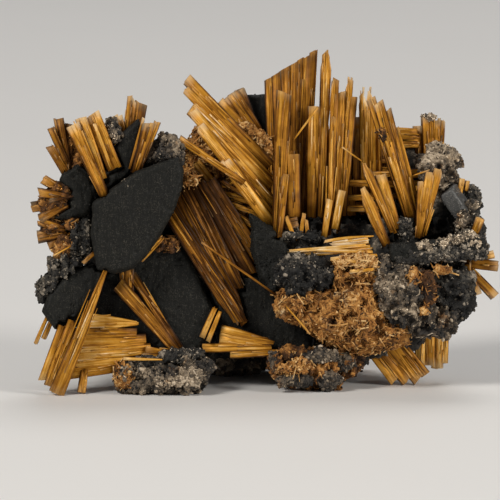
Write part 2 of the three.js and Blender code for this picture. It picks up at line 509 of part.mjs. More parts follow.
const specimen = new THREE.Group();
specimen.rotation.x = -(Math.PI / 2 + VIEW_TILT);
specimen.position.set(-MIDDLE_X, MIDDLE_Y, FLOOR_DROP);
for (const { name, finish, solid } of cutPieces()) {
  const geometry = geometryOf(solid);
  geometry.computeBoundingBox();
  const middle = geometry.boundingBox.getCenter(new THREE.Vector3());
  geometry.translate(-middle.x, -middle.y, -middle.z);
  const mesh = new THREE.Mesh(geometry, materials[finish]);
  mesh.name = name;
  mesh.position.copy(middle);
  specimen.add(mesh);
}

export default new THREE.Group().add(specimen);
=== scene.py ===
"""Rutile on hematite: the looks of the specimen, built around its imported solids.

Sheaves of rutile laths are laid out on a front view sheet in millimetres (x right, y down, depth
away from the eye), which leans back as the eye looks down on the specimen. Tablets, crusts and the
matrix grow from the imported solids.
"""

import math

import bmesh
import bpy
import numpy as np
from mathutils import Matrix, Vector, noise


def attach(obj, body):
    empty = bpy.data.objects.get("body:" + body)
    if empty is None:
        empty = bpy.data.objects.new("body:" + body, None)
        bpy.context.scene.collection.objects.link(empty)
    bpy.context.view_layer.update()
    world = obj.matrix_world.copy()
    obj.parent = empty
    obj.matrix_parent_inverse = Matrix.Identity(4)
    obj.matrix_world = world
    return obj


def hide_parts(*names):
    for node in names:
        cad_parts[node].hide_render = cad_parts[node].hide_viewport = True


bl_info = {
    "name": "Rutile on Hematite",
    "version": (1, 0, 0),
    "blender": (4, 5, 0),
    "location": "3D View > Sidebar > Specimen",
    "description": "Builds a mineral specimen: rutile laths, hematite tablets, crusts and its stage",
    "category": "Add Mesh",
}

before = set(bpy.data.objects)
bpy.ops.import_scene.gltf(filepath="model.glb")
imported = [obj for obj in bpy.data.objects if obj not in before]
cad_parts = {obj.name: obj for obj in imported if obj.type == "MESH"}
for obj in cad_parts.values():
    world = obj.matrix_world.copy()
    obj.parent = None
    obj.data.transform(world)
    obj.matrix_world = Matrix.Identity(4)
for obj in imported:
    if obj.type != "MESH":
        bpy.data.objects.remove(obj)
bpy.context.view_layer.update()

# The front view sheet is drawn in millimetres and leans back by the eye's tilt.
MM = 0.001
VIEW_TILT = math.radians(8)
FLOOR_DROP = 37.8
MIDDLE_X = 26.5
MIDDLE_Y = 4.175
SHEET = Matrix.Translation((-MIDDLE_X, MIDDLE_Y, FLOOR_DROP)) @ Matrix.Rotation(
    -(math.pi / 2 + VIEW_TILT), 4, "X"
)
TO_EYE = np.array((0, 0, -1.0))

RUTILE_FINISH = "striated_rutile"

# Where the random seeds of each group of pieces begin.
SEEDS = {
    "left": 100,
    "middle": 200,
    "right": 300,
    "back": 400,
    "needles": 500,
    "tablets": 600,
    "crusts": 700,
    "clusters": 800,
}

# Laths: the shares of their width at foot and tip and the slant where a row ends before them, the
# width up to which one is a single whole needle, and the width from which one carries splinters.
PLAIN_VALUES = 8
PLAIN_ENDS = (0.85, 0.85, 0)
NEEDLE_WIDTH = 0.3
SPLINTERED_WIDTH = 0.45
LATH_TONE_SPREAD = 0.08
TAPER_RATE = 2.2
TAPER_LIMIT = 0.45

# Ribs: how far neighbours overlap and how much their widths, thickness, tilt and looks vary; how
# late they start, how early they end and how unevenly they are cut, in millimetres; the share that
# breaks off anew, how long a break may be and how rare a long one is; the share that lies deeper.
RIB_OVERLAP = 1.3
RIB_WIDTH_SPREAD = 0.6
RIB_WIDTH_LIMITS = (0.3, 3)
RIB_THICKNESS = (0.85, 1)
RIB_TILT = 0.11
RIB_TONE_SPREAD = 0.04
RIB_PALENESS = (0.3, 1.2)
# How far a rib's place across its lath reaches, for the painted shade along the lath's long edges.
RIB_SEAM_SHADE = 1.1
LATE_FOOT = 0.3
EARLY_TIP = 0.05
CUT_SPREAD = 0.12
BROKEN_SHARE = 0.45
BROKEN_LIMIT = 0.1
BREAK_POWER = 2.5
SUNK_SHARE = 0.2
SUNK_RELIEF = 1.5

# Splinters over a lath: where they start and how far they reach, as shares of its length, and their
# width and thickness in millimetres.
SPLINTER_START = (0, 0.7)
SPLINTER_REACH = (0.15, 0.5)
SPLINTER_WIDTH = (0.05, 0.16)
SPLINTER_THICKNESS = (0.06, 0.14)

# Threads matted over a crust: width and thickness in millimetres, and how steeply they rise.
THREAD_WIDTH = (0.06, 0.17)
THREAD_THICKNESS = (0.05, 0.12)
THREAD_RISE = (-0.1, 0.35)

# Strips: how fast they widen from the foot, how many steps their thickness wavers in and by how
# much, where their slanted tip begins, and how far apart their grains are drawn.
FOOT_GROWTH = 1.6
WAVE_STEPS = 3
WAVE_HEIGHT = 0.06
TIP_START = 0.99
GRAIN_RANGE = 60

# Tablets and crusts: rounds of smoothing, growth beyond the solid in millimetres, the clusters'
# share of the crusts' relief, the sizes of a tablet's grains and the way, up and towards the key
# light, from which crust faces get a painted highlight.
TABLET_SMOOTHING = 1
CRUST_SMOOTHING = 5
TABLET_GROWTH = 0.05
CRUST_GROWTH = 0.2
CLUSTER_RELIEF = 0.4
TABLET_GRAINS = (0.04, 0.14)
GRAIN_SPREAD = 0.45
GRAIN_LIMITS = (0.3, 2.4)
GRAIN_STRETCH = (0.45, 1.25)
GRAIN_JAG = 0.12
GRAIN_TONE_SPREAD = 0.24
GLINT_TONE = 0.35
HIGHLIGHT_WAY = np.array((-0.5, -0.4, 0.77))

# Noise, in waves per millimetre.
SWELL_NOISE = 0.45
DENT_NOISE = 1.1
BRUSHED_NOISE = (3.5, 3, 0.5)
NICK_NOISE = 2.3
RIDGE_NOISE = 0.85
PIT_NOISE = 1.9
KNOB_NOISE = 3.1
TONE_NOISE = 0.55

# Colours of rutile between the dark, golden and pale ones, and of the bright facet: a painted
# reflection.
RUTILE_BROWN = (0.12, 0.042, 0.004)
RUTILE_AMBER = (0.32, 0.13, 0.013)
RUTILE_HONEY = (0.74, 0.43, 0.11)
FACET_REFLECTION_SLATE = (0.1, 0.1, 0.097)
FACET_REFLECTION_BLOOM = (0.3, 0.29, 0.27)

# Lights: place, size, power and colour.
LIGHTS = {
    "key": ((-0.45, -0.42, 0.5), 0.22, 3.9, (1.0, 0.96, 0.9)),
    "fill": ((0.62, -0.36, 0.26), 0.25, 3.6, (1.0, 0.96, 0.9)),
    "rim": ((0.1, 0.4, 0.6), 0.35, 1.6, (1.0, 0.98, 0.95)),
}
LIGHT_TARGET = (0, 0, 0.016)
SKY_COLOR = (0.9, 0.93, 1.0, 1.0)
SKY_STRENGTH = 0.12
FLOOR_HALF = 3
SENSOR_WIDTH = 36
FRONT_DEPTH = -5.0

# Sheaves of rutile: node, tone from 0 dark brown to 1 pale, paleness of the tips (part wear, part
# painted highlight) and raggedness of the tips, then laths.
# Each lath: foot x, y, depth, tip x, y, depth, width, thickness, then, where they differ from the
# plain ones, the shares of its width at the foot and the tip and the slant of its tip's cut.
LEFT_SHEAVES = {
    "tower_left_spray": (0.62, 0.9, 0.5, [
        (10.6, 19.8, -9.4, 7.2, 12.2, -9.5, 1.2, 0.7, 0.7, 0.9, 0.1),
        (10.4, 18.2, -8.8, 8.1, 11.8, -8.9, 1.0, 0.8, 0.8, 0.9),
        (11.6, 17.0, -8.3, 9.2, 11.5, -8.4, 1.6, 0.9, 0.8, 1, 0.3),
        (11.2, 16.9, -9.0, 9.5, 12.4, -9.1, 0.3, 0.3),
    ]),
    "tower_top_spray": (0.5, 0.9, 0.6, [
        (12.5, 16.2, -6.6, 13.2, 9.5, -6.4, 0.9, 0.8, 0.8, 0.35),
        (13.0, 16.4, -6.4, 14.1, 10.3, -6.2, 1.1, 0.9, 0.8, 0.9, -0.3),
        (12.6, 14.6, -6.8, 11.7, 11.5, -6.8, 0.9, 0.7, 0.9, 0.9),
        (12.9, 17.2, -8.6, 14.4, 11.8, -8.3, 0.22, 0.25),
    ]),
    "tower_right_spray": (0.34, 0.5, 0.6, [
        (13.4, 17.6, -8.2, 15.0, 12.2, -8.2, 1.1, 0.7, 0.6, 0.9, 0.4),
        (13.8, 17.5, -8.0, 15.8, 12.2, -8.0, 0.6, 0.6, 0.6, 0.8),
    ]),
    "edge_stubs_upper": (0.34, 0.25, 1.6, [
        (6.9, 17.4, -7.6, 5.9, 11.9, -7.8, 0.8, 0.8),
        (6.8, 16.4, -7.8, 5.2, 12.8, -8.2, 0.7, 0.7),
        (7.0, 17.8, -7.5, 5.1, 14.6, -8.0, 0.8, 0.8, 1, 0.6),
        (7.0, 15.6, -7.4, 6.8, 12.4, -7.2, 0.8, 0.8),
    ]),
    "edge_stubs_middle": (0.4, 0.3, 1.6, [
        (6.9, 19.4, -8.0, 4.3, 17.9, -8.2, 0.8, 0.8),
        (6.9, 19.8, -8.2, 3.9, 19.3, -8.6, 0.8, 0.7),
        (6.9, 20.2, -7.8, 3.2, 20.7, -7.4, 0.9, 0.9),
        (6.8, 20.4, -8.0, 4.0, 21.9, -8.2, 0.8, 0.7),
        (7.6, 19.6, -8.9, 5.0, 20.1, -9.1, 0.4, 0.3, 0.3, 0.9),
    ]),
    "edge_stubs_lower": (0.38, 0.25, 1.6, [
        (6.6, 23.0, -7.8, 3.9, 22.1, -8.0, 0.8, 0.8),
        (6.7, 23.2, -7.6, 3.8, 23.7, -7.8, 1.1, 0.8),
        (6.8, 23.4, -7.6, 5.0, 24.8, -7.6, 0.9, 0.8),
        (6.8, 23.2, -7.4, 5.8, 26.0, -7.9, 0.9, 0.8, 0.9, 0.5),
    ]),
    "lower_left_sheaf": (0.5, 0.4, 0.4, [
        (10.6, 27.0, -9.4, 5.7, 39.35, -9.2, 1.5, 0.8, 0.25, 0.75),
        (7.4, 32.0, -8.9, 5.0, 38.6, -8.9, 0.9, 0.9, 0.9, 0.9),
        (6.5, 32.4, -8.6, 4.5, 38.1, -8.6, 1.0, 0.9, 0.9, 0.9, 0.3),
    ]),
    "crossing_laths": (0.48, 0.1, 0.1, [
        (17.7, 35.2, -7.0, 11.8, 28.4, -7.4, 1.25, 0.7, 0.6, 1, 0.3),
        (18.0, 34.8, -6.7, 13.2, 27.4, -6.9, 0.8, 0.6, 0.8, 0.8),
        (12.8, 30.2, -6.8, 12.7, 26.7, -6.8, 1.4, 0.8),
    ]),
    "level_fan_left": (0.66, 0.4, 0.15, [
        (13.9, 32.3, -7.5, 8.0, 32.3, -7.6, 2.0, 0.7, 0.2, 1),
        (13.9, 33.2, -7.6, 7.0, 33.3, -7.8, 0.9, 0.8, 0.8, 0.9),
        (14.7, 34.0, -7.5, 6.4, 34.4, -7.8, 1.2, 0.8),
        (15.2, 34.9, -7.5, 6.2, 35.5, -7.8, 1.2, 0.8),
        (12.8, 35.8, -7.6, 6.2, 36.5, -7.9, 1.1, 0.8),
        (12.2, 36.7, -7.6, 6.6, 37.4, -7.9, 1.0, 0.9),
        (8.5, 36.8, -8.0, 8.2, 39.2, -8.4, 0.75, 0.7),
        (18.2, 35.4, -8.2, 14.3, 35.5, -8.2, 0.35, 0.3, 0.3, 0.9),
        (16.4, 35.9, -9.6, 12.4, 35.8, -9.6, 0.3, 0.3, 0.4, 0.9),
        (17.2, 35.1, -8.0, 14.6, 34.9, -8.0, 0.6, 0.4, 0.2, 1),
    ]),
}
MIDDLE_SHEAVES = {
    # centre_sheaf's low tone is painted shade: the sheaf lies in the shadow of the tower.
    "centre_sheaf": (0.3, 0.0, 0.3, [
        (16.5, 20.6, -6.8, 24.0, 32.3, -6.4, 1.4, 0.8, 0.9, 0.4, -0.4),
        (16.8, 20.4, -5.6, 24.4, 32.2, -5.0, 1.4, 0.8, 0.9, 0.35, -0.5),
        (17.7, 19.4, -5.4, 24.5, 32.4, -4.8, 1.6, 0.9, 0.9, 0.3, 0.4),
        (18.7, 18.6, -5.1, 23.9, 28.9, -4.6, 1.6, 0.9, 0.9, 0.5, -0.6),
        (19.8, 18.2, -4.7, 25.1, 27.4, -4.3, 1.3, 0.9, 0.9, 0.7, -0.4),
        (20.9, 18.0, -4.3, 26.4, 26.6, -4.0, 1.3, 0.9, 0.9, 0.8, -0.4),
    ]),
    "level_fan_centre": (0.55, 0.1, 0.15, [
        (27.4, 34.3, -5.3, 22.0, 33.4, -5.5, 1.7, 0.7, 0.2, 1),
        (27.4, 34.7, -5.3, 20.2, 34.8, -5.7, 0.8, 0.7, 0.6, 0.9),
        (30.0, 35.2, -5.1, 23.0, 35.4, -5.5, 0.8, 0.7, 0.4, 0.9),
    ]),
    "lattice_laths": (0.5, 0.1, 0.6, [
        (25.8, 24.2, -2.6, 19.6, 16.2, -2.6, 0.8, 0.7),
        (24.6, 24.8, -2.5, 18.8, 17.8, -2.5, 0.8, 0.7),
        (19.9, 18.6, -2.5, 26.0, 20.4, -2.6, 0.7, 0.7),
        (20.9, 21.2, -2.5, 26.2, 23.0, -2.7, 0.7, 0.7),
        (21.0, 19.6, -3.4, 26.2, 21.6, -3.5, 0.5, 0.5),
        (20.0, 19.9, -3.3, 24.4, 17.6, -3.4, 0.4, 0.4),
        (20.2, 19.2, -3.6, 26.2, 23.2, -3.8, 0.6, 0.5),
        (20.6, 20.6, -3.5, 26.0, 24.6, -3.7, 0.5, 0.5),
        (21.2, 21.8, -3.4, 26.2, 25.8, -3.6, 0.6, 0.5),
        (22.0, 18.0, -3.4, 26.4, 20.8, -3.6, 0.5, 0.5),
        (21.8, 23.6, -3.6, 25.8, 26.8, -3.8, 0.5, 0.5),
    ]),
    "upper_left_sheaf": (0.6, 0.8, 0.7, [
        (27.0, 16.6, -2.9, 18.6, 7.9, -3.6, 1.0, 0.8, 1, 1, 0.3),
        (27.2, 18.0, -3.0, 18.5, 8.9, -4.0, 0.7, 0.8, 1, 0.5),
        (27.2, 18.8, -3.2, 19.1, 10.7, -4.4, 1.3, 0.9, 1, 0.7, 0.2),
        (27.4, 20.4, -3.4, 19.2, 11.1, -4.8, 0.9, 0.9, 1, 0.6),
        (27.4, 22.0, -3.6, 19.9, 12.6, -5.2, 0.9, 0.9, 1, 0.6),
        (27.4, 22.9, -4.0, 22.3, 16.0, -5.5, 1.0, 0.8, 1, 0.8),
        (24.4, 18.3, -5.3, 17.9, 13.9, -6.3, 0.7, 0.8, 0.8, 0.8),
    ]),
    "upper_right_band": (0.46, 0.7, 0.5, [
        (26.7, 15.6, -1.6, 21.8, 10.2, -2.4, 1.1, 0.9, 1, 1, 0.2),
        (26.5, 14.6, -1.5, 22.7, 9.6, -2.2, 1.1, 0.9),
        (25.8, 13.0, -1.4, 23.3, 9.2, -2.0, 1.1, 0.9),
        (25.0, 11.6, -1.3, 23.9, 8.9, -1.8, 0.9, 0.9),
    ]),
    "front_tall_laths": (0.52, 0.2, 0.4, [
        (27.7, 23.9, -5.3, 28.4, 9.2, -4.5, 1.3, 0.7, 0.6, 0.9, -0.4),
        (27.9, 23.8, -5.7, 28.5, 17.4, -5.3, 0.7, 0.7, 0.7, 0.6),
        (29.3, 21.8, -4.9, 29.2, 15.3, -4.8, 1.2, 0.7, 1, 1),
        (28.2, 22.6, -5.1, 29.8, 22.2, -4.9, 1.0, 0.7, 1, 1),
    ]),
    "tall_fan": (0.45, 0.1, 0.12, [
        (27.6, 23.0, -1.6, 27.05, 7.6, -1.6, 1.1, 0.8, 0.9, 1, 0.6),
        (28.6, 22.8, -1.8, 28.1, 7.0, -1.7, 1.7, 0.9, 0.8, 1, 0.95),
        (29.4, 22.4, -1.85, 29.4, 6.2, -1.65, 1.8, 0.9, 0.7, 1, 1.05),
        (30.1, 22.2, -1.8, 30.7, 5.5, -1.6, 1.6, 0.9, 0.6, 1, 0.9),
        (30.6, 22.0, -1.7, 31.4, 5.0, -1.5, 0.7, 0.8, 0.6, 1, 0.4),
    ]),
    "spear": (0.5, 0.5, 0.25, [
        (32.0, 21.8, -3.2, 32.7, 4.9, -3.0, 1.0, 0.8, 0.6, 0.2),
        (31.2, 21.8, -3.1, 31.5, 10.6, -2.9, 1.1, 0.8, 0.8, 0.8),
    ]),
    "tall_prongs": (0.52, 0.5, 0.7, [
        (32.9, 23.7, -4.0, 33.5, 7.8, -3.4, 0.7, 0.7, 0.5, 0.3),
        (33.4, 22.8, -3.6, 34.1, 9.0, -3.1, 0.9, 0.8, 0.6, 0.8, 0.3),
        (33.8, 23.4, -3.4, 35.0, 7.8, -2.8, 0.6, 0.7, 0.5, 0.3),
        (34.3, 21.6, -3.3, 35.2, 9.6, -2.8, 1.0, 0.8, 0.6, 0.7),
    ]),
    "bright_bar": (0.86, 0.6, 1.4, [
        (37.2, 24.8, -7.2, 29.3, 25.3, -7.4, 0.7, 0.6, 0.9, 0.3),
        (37.0, 24.0, -7.1, 33.1, 24.45, -7.2, 0.7, 0.6, 0.8, 0.5, 0.4),
        (37.4, 25.2, -7.6, 31.5, 25.0, -7.8, 0.35, 0.3, 0.8, 0.3),
        (36.8, 24.5, -7.6, 28.9, 25.15, -7.8, 0.3, 0.3, 0.8, 0.4),
        (37.8, 25.5, -7.7, 33.0, 25.9, -7.9, 0.3, 0.3),
        (37.5, 23.6, -7.4, 32.4, 24.15, -7.5, 0.25, 0.25, 0.5, 0.3),
        (37.6, 26.4, -8.4, 34.4, 26.0, -8.3, 0.4, 0.3),
        (37.5, 26.9, -8.5, 34.8, 27.2, -8.4, 0.35, 0.3),
        (36.6, 25.8, -8.3, 33.8, 26.5, -8.2, 0.3, 0.3),
    ]),
}
RIGHT_SHEAVES = {
    "pale_tipped_spray": (0.6, 1.8, 0.8, [
        (36.2, 12.0, -1.9, 36.4, 8.6, -1.9, 0.16, 0.16),
        (36.8, 12.0, -1.8, 37.1, 8.6, -1.8, 0.16, 0.16),
        (34.8, 11.0, -2.8, 34.9, 7.6, -2.8, 0.16, 0.16),
        (35.1, 11.0, -2.8, 35.2, 7.7, -2.8, 0.16, 0.16),
        (35.8, 19.6, -1.6, 35.8, 11.6, -1.6, 1.0, 0.8, 0.9, 0.6),
        (36.6, 19.4, -1.8, 36.3, 8.9, -1.8, 0.8, 0.7, 1, 0.2),
        (37.3, 19.4, -1.7, 37.0, 9.0, -1.7, 0.9, 0.8, 1, 0.25),
        (37.9, 19.6, -1.5, 37.7, 11.5, -1.5, 0.8, 0.8, 1, 0.8),
    ]),
    "leaning_blade": (0.58, 0.6, 0.4, [
        (40.9, 22.2, -3.8, 37.1, 9.8, -4.0, 0.8, 0.9, 0.8, 1, 0.2),
        (41.3, 22.4, -4.0, 37.8, 10.2, -4.2, 1.0, 0.9, 0.8, 1, 0.3),
        (41.5, 21.9, -3.7, 38.7, 11.0, -3.9, 0.9, 0.8, 0.8, 0.8, 0.4),
        (41.6, 20.4, -3.4, 39.5, 12.9, -3.6, 0.8, 0.8, 0.9, 0.8, 0.4),
    ]),
    "front_left_vee": (0.62, 0.4, 0.4, [
        (39.4, 23.4, -5.4, 36.3, 16.2, -5.1, 0.8, 0.7, 0.8, 0.3),
        (38.7, 24.6, -5.9, 36.2, 18.8, -5.6, 1.2, 0.8, 0.7, 0.4, 0.3),
        (39.7, 23.0, -4.9, 38.0, 17.4, -4.7, 1.0, 0.7),
    ]),
    "front_right_vee": (0.62, 0.5, 0.4, [
        (41.8, 23.9, -5.2, 42.2, 18.0, -4.9, 0.7, 0.7, 0.6, 0.6),
        (41.9, 23.9, -5.3, 43.1, 17.2, -5.0, 0.8, 0.7, 0.6, 0.6),
        (42.1, 23.8, -5.2, 43.9, 16.9, -4.9, 0.8, 0.7, 0.6, 0.6),
    ]),
    "rear_block": (0.46, 1.0, 0.4, [
        (42.3, 18.4, 0.8, 41.9, 12.5, 0.9, 0.9, 0.9, 1, 0.9),
        (43.0, 18.2, 0.6, 42.9, 11.3, 0.8, 1.1, 1, 1, 1, 0.1),
        (43.7, 18.2, 0.8, 43.7, 11.7, 0.9, 0.9, 1, 1, 1),
        (44.1, 17.4, 0.9, 44.4, 11.9, 1.0, 0.5, 0.6, 1, 0.6),
    ]),
    "rear_rungs": (0.58, 0.3, 0.6, [
        (42.0, 13.2, 0.1, 38.4, 13.1, -0.1, 0.7, 0.7),
        (42.0, 14.4, 0.1, 38.2, 14.4, -0.1, 0.7, 0.7),
        (39.2, 16.0, -0.1, 34.8, 15.8, -0.2, 0.7, 0.7),
        (41.4, 18.2, -0.2, 34.8, 18.3, -0.3, 0.7, 0.7),
        (39.6, 20.7, -0.5, 33.8, 20.6, -0.6, 0.8, 0.8),
        (39.2, 21.6, 0.3, 38.8, 12.8, 0.4, 0.9, 0.8),
        (36.5, 21.6, 0.3, 36.2, 14.6, 0.3, 0.9, 0.8),
        (41.8, 13.7, -0.3, 39.0, 13.6, -0.3, 0.4, 0.4),
        (42.4, 17.4, -0.4, 40.4, 17.6, -0.4, 0.5, 0.5),
        (42.6, 18.1, -0.6, 40.6, 18.4, -0.6, 0.5, 0.5),
        (39.4, 16.9, -0.5, 34.8, 16.7, -0.6, 0.5, 0.5),
        (39.8, 19.6, -0.6, 34.0, 19.5, -0.7, 0.6, 0.5),
        (33.6, 22.0, -0.6, 33.9, 11.4, -0.6, 1.3, 0.6),
        (38.4, 21.8, 0.2, 37.7, 13.6, 0.2, 1.3, 0.6),
        (42.6, 17.1, -2.6, 37.2, 17.5, -2.6, 0.6, 0.5, 0.9, 0.9, 0.2),
        (40.2, 18.4, -2.4, 34.0, 18.3, -2.4, 0.6, 0.5),
        (40.2, 19.6, -2.4, 34.1, 19.8, -2.5, 0.5, 0.5),
        (39.4, 20.9, -2.6, 33.8, 20.8, -2.7, 0.6, 0.5),
        (35.2, 21.6, -0.8, 35.0, 13.0, -0.8, 0.9, 0.5),
        (32.5, 22.0, -0.9, 32.8, 12.5, -0.9, 1.0, 0.5),
        (42.2, 14.0, 0.6, 38.4, 13.9, 0.5, 1.0, 0.4),
    ]),
    "right_fingers": (0.56, 0.9, 0.1, [
        (46.4, 26.2, -5.4, 49.8, 26.6, -5.8, 0.9, 0.8, 1, 0.8),
        (46.5, 26.6, -5.3, 49.5, 29.7, -5.4, 0.9, 0.8, 0.9, 0.8),
        (46.5, 26.4, -5.6, 47.7, 29.5, -6.2, 0.8, 0.7, 0.9, 0.7),
        (46.4, 26.1, -5.2, 49.4, 25.4, -5.0, 0.7, 0.7),
    ]),
    "lower_right_sheaf": (0.6, 0.5, 0.3, [
        (36.2, 33.6, -3.4, 39.6, 38.0, -2.6, 1.2, 0.9, 0.9, 0.9, 0.3),
        (37.2, 33.6, -3.3, 40.7, 38.2, -2.4, 1.2, 0.9, 0.9, 0.9, 0.3),
        (38.3, 33.4, -3.2, 41.9, 37.9, -2.3, 1.2, 0.9, 0.9, 0.8, 0.3),
        (39.3, 33.4, -3.1, 42.6, 37.5, -2.2, 0.9, 0.8),
    ]),
    "lower_right_comb": (0.74, 0.8, 0.7, [
        (42.2, 32.0, -1.4, 42.0, 36.9, -1.0, 0.9, 0.9, 1, 0.8),
        (43.0, 32.0, -1.4, 43.0, 36.6, -1.0, 1.0, 0.9, 1, 0.7),
        (43.8, 32.0, -1.4, 43.8, 36.9, -1.0, 1.0, 0.9, 1, 0.8),
        (44.5, 32.0, -1.4, 44.4, 36.4, -1.0, 0.8, 0.9, 1, 0.9),
    ]),
}
BACK_SHEAVES = {
    "back_left_sheaf": (0.5, 0.5, 0.6, [
        (20.2, 26.8, 6.2, 11.0, 16.8, 8.2, 1.4, 0.9, 0.9, 0.8, 0.4),
        (20.8, 26.4, 6.3, 12.9, 15.0, 8.6, 1.4, 0.9, 0.9, 0.7, 0.4),
        (21.5, 26.2, 6.1, 14.9, 14.2, 8.3, 1.4, 0.9, 0.9, 0.8, -0.4),
        (22.2, 26.2, 5.9, 17.0, 15.2, 7.8, 1.3, 0.9, 0.9, 0.6, 0.3),
    ]),
    "back_tall_sheaf": (0.46, 0.5, 0.6, [
        (29.8, 24.0, 3.6, 28.2, 10.8, 4.6, 1.4, 0.9, 0.9, 0.7, 0.5),
        (30.8, 24.0, 3.8, 30.1, 8.9, 4.8, 1.5, 0.9, 0.9, 0.8, -0.5),
        (31.9, 24.0, 3.6, 32.3, 11.4, 4.6, 1.4, 0.9, 0.9, 0.6, 0.4),
        (32.9, 24.0, 3.4, 34.3, 13.2, 4.2, 1.2, 0.9, 0.9, 0.8),
    ]),
    "back_right_sheaf": (0.55, 0.5, 0.6, [
        (40.4, 29.0, 5.4, 44.6, 19.4, 6.2, 1.3, 0.9, 0.9, 0.8, 0.4),
        (39.4, 28.2, 5.8, 42.2, 15.8, 6.8, 1.2, 0.9, 0.9, 0.7, -0.4),
        (38.2, 25.0, 5.9, 40.2, 17.2, 6.9, 1.0, 0.9, 0.9, 0.8, 0.3),
    ]),
    "back_level_fan": (0.56, 0.5, 0.5, [
        (21.6, 31.2, 7.0, 10.6, 30.0, 7.6, 1.4, 0.9, 0.9, 0.8, 0.4),
        (21.6, 32.2, 7.1, 9.8, 31.7, 7.7, 1.4, 0.9, 0.9, 0.7, -0.4),
        (21.6, 33.2, 7.0, 11.2, 33.3, 7.5, 1.3, 0.9, 0.9, 0.8),
    ]),
    "back_lower_laths": (0.5, 0.5, 0.5, [
        (33.6, 27.4, 6.2, 37.4, 35.9, 7.2, 1.3, 0.9, 0.9, 0.8, 0.4),
        (34.8, 27.2, 6.0, 39.8, 34.3, 7.0, 1.1, 0.9, 0.9, 0.7),
    ]),
}
# Fine needles that lie over the rest and are too thin for solids of their own.
NEEDLES = {
    "needles_left": (0.6, 0.4, 0.3, [
        (16.4, 23.7, -8.6, 14.1, 26.1, -8.9, 0.4, 0.3, 0.9, 0.6),
        (4.9, 31.4, -7.6, 3.6, 34.4, -7.6, 0.35, 0.3),
        (5.3, 31.8, -7.4, 4.4, 33.9, -7.4, 0.45, 0.4),
        (7.2, 24.6, -8.8, 5.4, 25.6, -9.0, 0.15, 0.15),
        (9.6, 25.2, -8.9, 8.3, 26.3, -9.0, 0.45, 0.3, 0.9, 0.3),
    ]),
    "needles_middle": (0.72, 0.3, 0.3, [
        (28.3, 30.0, -6.2, 20.1, 24.2, -6.6, 0.2, 0.2),
        (28.4, 30.4, -8.4, 31.0, 33.4, -8.7, 0.14, 0.14),
        (28.1, 30.4, -6.6, 27.6, 31.7, -6.6, 0.16, 0.16),
        (21.6, 30.6, -6.4, 20.2, 33.8, -6.4, 0.5, 0.35),
        (22.1, 31.0, -6.3, 20.8, 34.2, -6.3, 0.4, 0.35),
        (32.4, 23.8, -4.7, 33.0, 19.9, -4.6, 0.6, 0.4),
        (33.4, 23.0, -4.6, 34.2, 19.0, -4.4, 0.7, 0.4),
        (29.6, 24.2, -5.4, 28.6, 21.6, -5.5, 0.4, 0.3),
        (30.0, 23.9, -5.2, 30.4, 21.3, -5.2, 0.35, 0.3, 1, 0.2),
        (30.8, 24.0, -5.2, 30.6, 21.9, -5.2, 0.3, 0.3, 1, 0.2),
        (29.2, 14.2, -4.6, 31.8, 10.7, -4.4, 0.16, 0.16),
    ]),
    "needles_right": (0.68, 0.8, 0.3, [
        (36.3, 16.2, -5.2, 34.2, 14.7, -5.0, 0.12, 0.12),
        (47.4, 23.4, -4.8, 48.0, 21.8, -5.2, 0.8, 0.6, 0.8, 0.8),
        (46.0, 19.8, -3.6, 46.3, 17.8, -3.6, 0.5, 0.4),
        (46.6, 19.2, -3.4, 46.8, 18.0, -3.4, 0.4, 0.4),
        (47.0, 25.9, -6.0, 47.9, 24.2, -5.8, 0.15, 0.15),
        (46.9, 27.5, -6.6, 47.0, 26.2, -6.4, 0.14, 0.14),
        (41.2, 17.6, -4.6, 43.0, 17.0, -4.6, 0.14, 0.14),
        (44.8, 31.8, -6.0, 45.6, 30.6, -6.4, 0.4, 0.3, 0.4, 0.8),
    ]),
    "needles_back": (0.5, 0.4, 0.4, [
        (25.6, 25.0, 3.6, 27.4, 18.6, 5.4, 0.5, 0.5),
        (26.2, 25.4, 3.8, 24.2, 19.6, 5.6, 0.5, 0.5),
        (27.8, 29.8, 3.6, 31.6, 25.6, 5.4, 0.6, 0.5),
        (28.2, 31.0, 3.6, 32.8, 28.4, 5.6, 0.5, 0.5),
        (16.2, 22.6, 4.6, 14.0, 26.4, 5.6, 0.3, 0.3),
        (35.4, 22.8, 5.2, 39.4, 24.0, 5.6, 0.25, 0.25),
        (43.6, 27.0, 2.6, 46.4, 24.4, 4.0, 0.6, 0.5),
        (43.4, 28.4, 2.4, 46.6, 28.0, 3.6, 0.6, 0.5),
        (9.6, 24.0, 0.6, 6.4, 21.6, 1.8, 0.6, 0.5),
        (9.2, 25.6, 0.4, 6.0, 24.4, 1.6, 0.6, 0.5),
        (12.6, 17.4, -0.6, 10.4, 12.8, 0.6, 0.7, 0.6),
        (13.4, 17.0, -0.6, 12.6, 12.2, 0.6, 0.7, 0.6),
    ]),
}

# Tablets: node, how far its faces swell and dip, and how many grains sit on it.
TABLETS = {
    "front_tablet": (0.07, 60),
    "upper_left_tablet": (0.12, 160),
    "notch_tablets": (0.1, 40),
    "lower_left_tablet": (0.1, 60),
    "middle_tablet": (0.12, 70),
    "lower_centre_tablet": (0.12, 90),
    "top_tablet": (0.1, 30),
    "glinting_tablet": (0.24, 900),
    "shelf_tablet": (0.28, 1300),
    "facet_crystal": (0.1, 70),
    "back_left_tablet": (0.14, 260),
    "back_right_tablet": (0.14, 260),
}
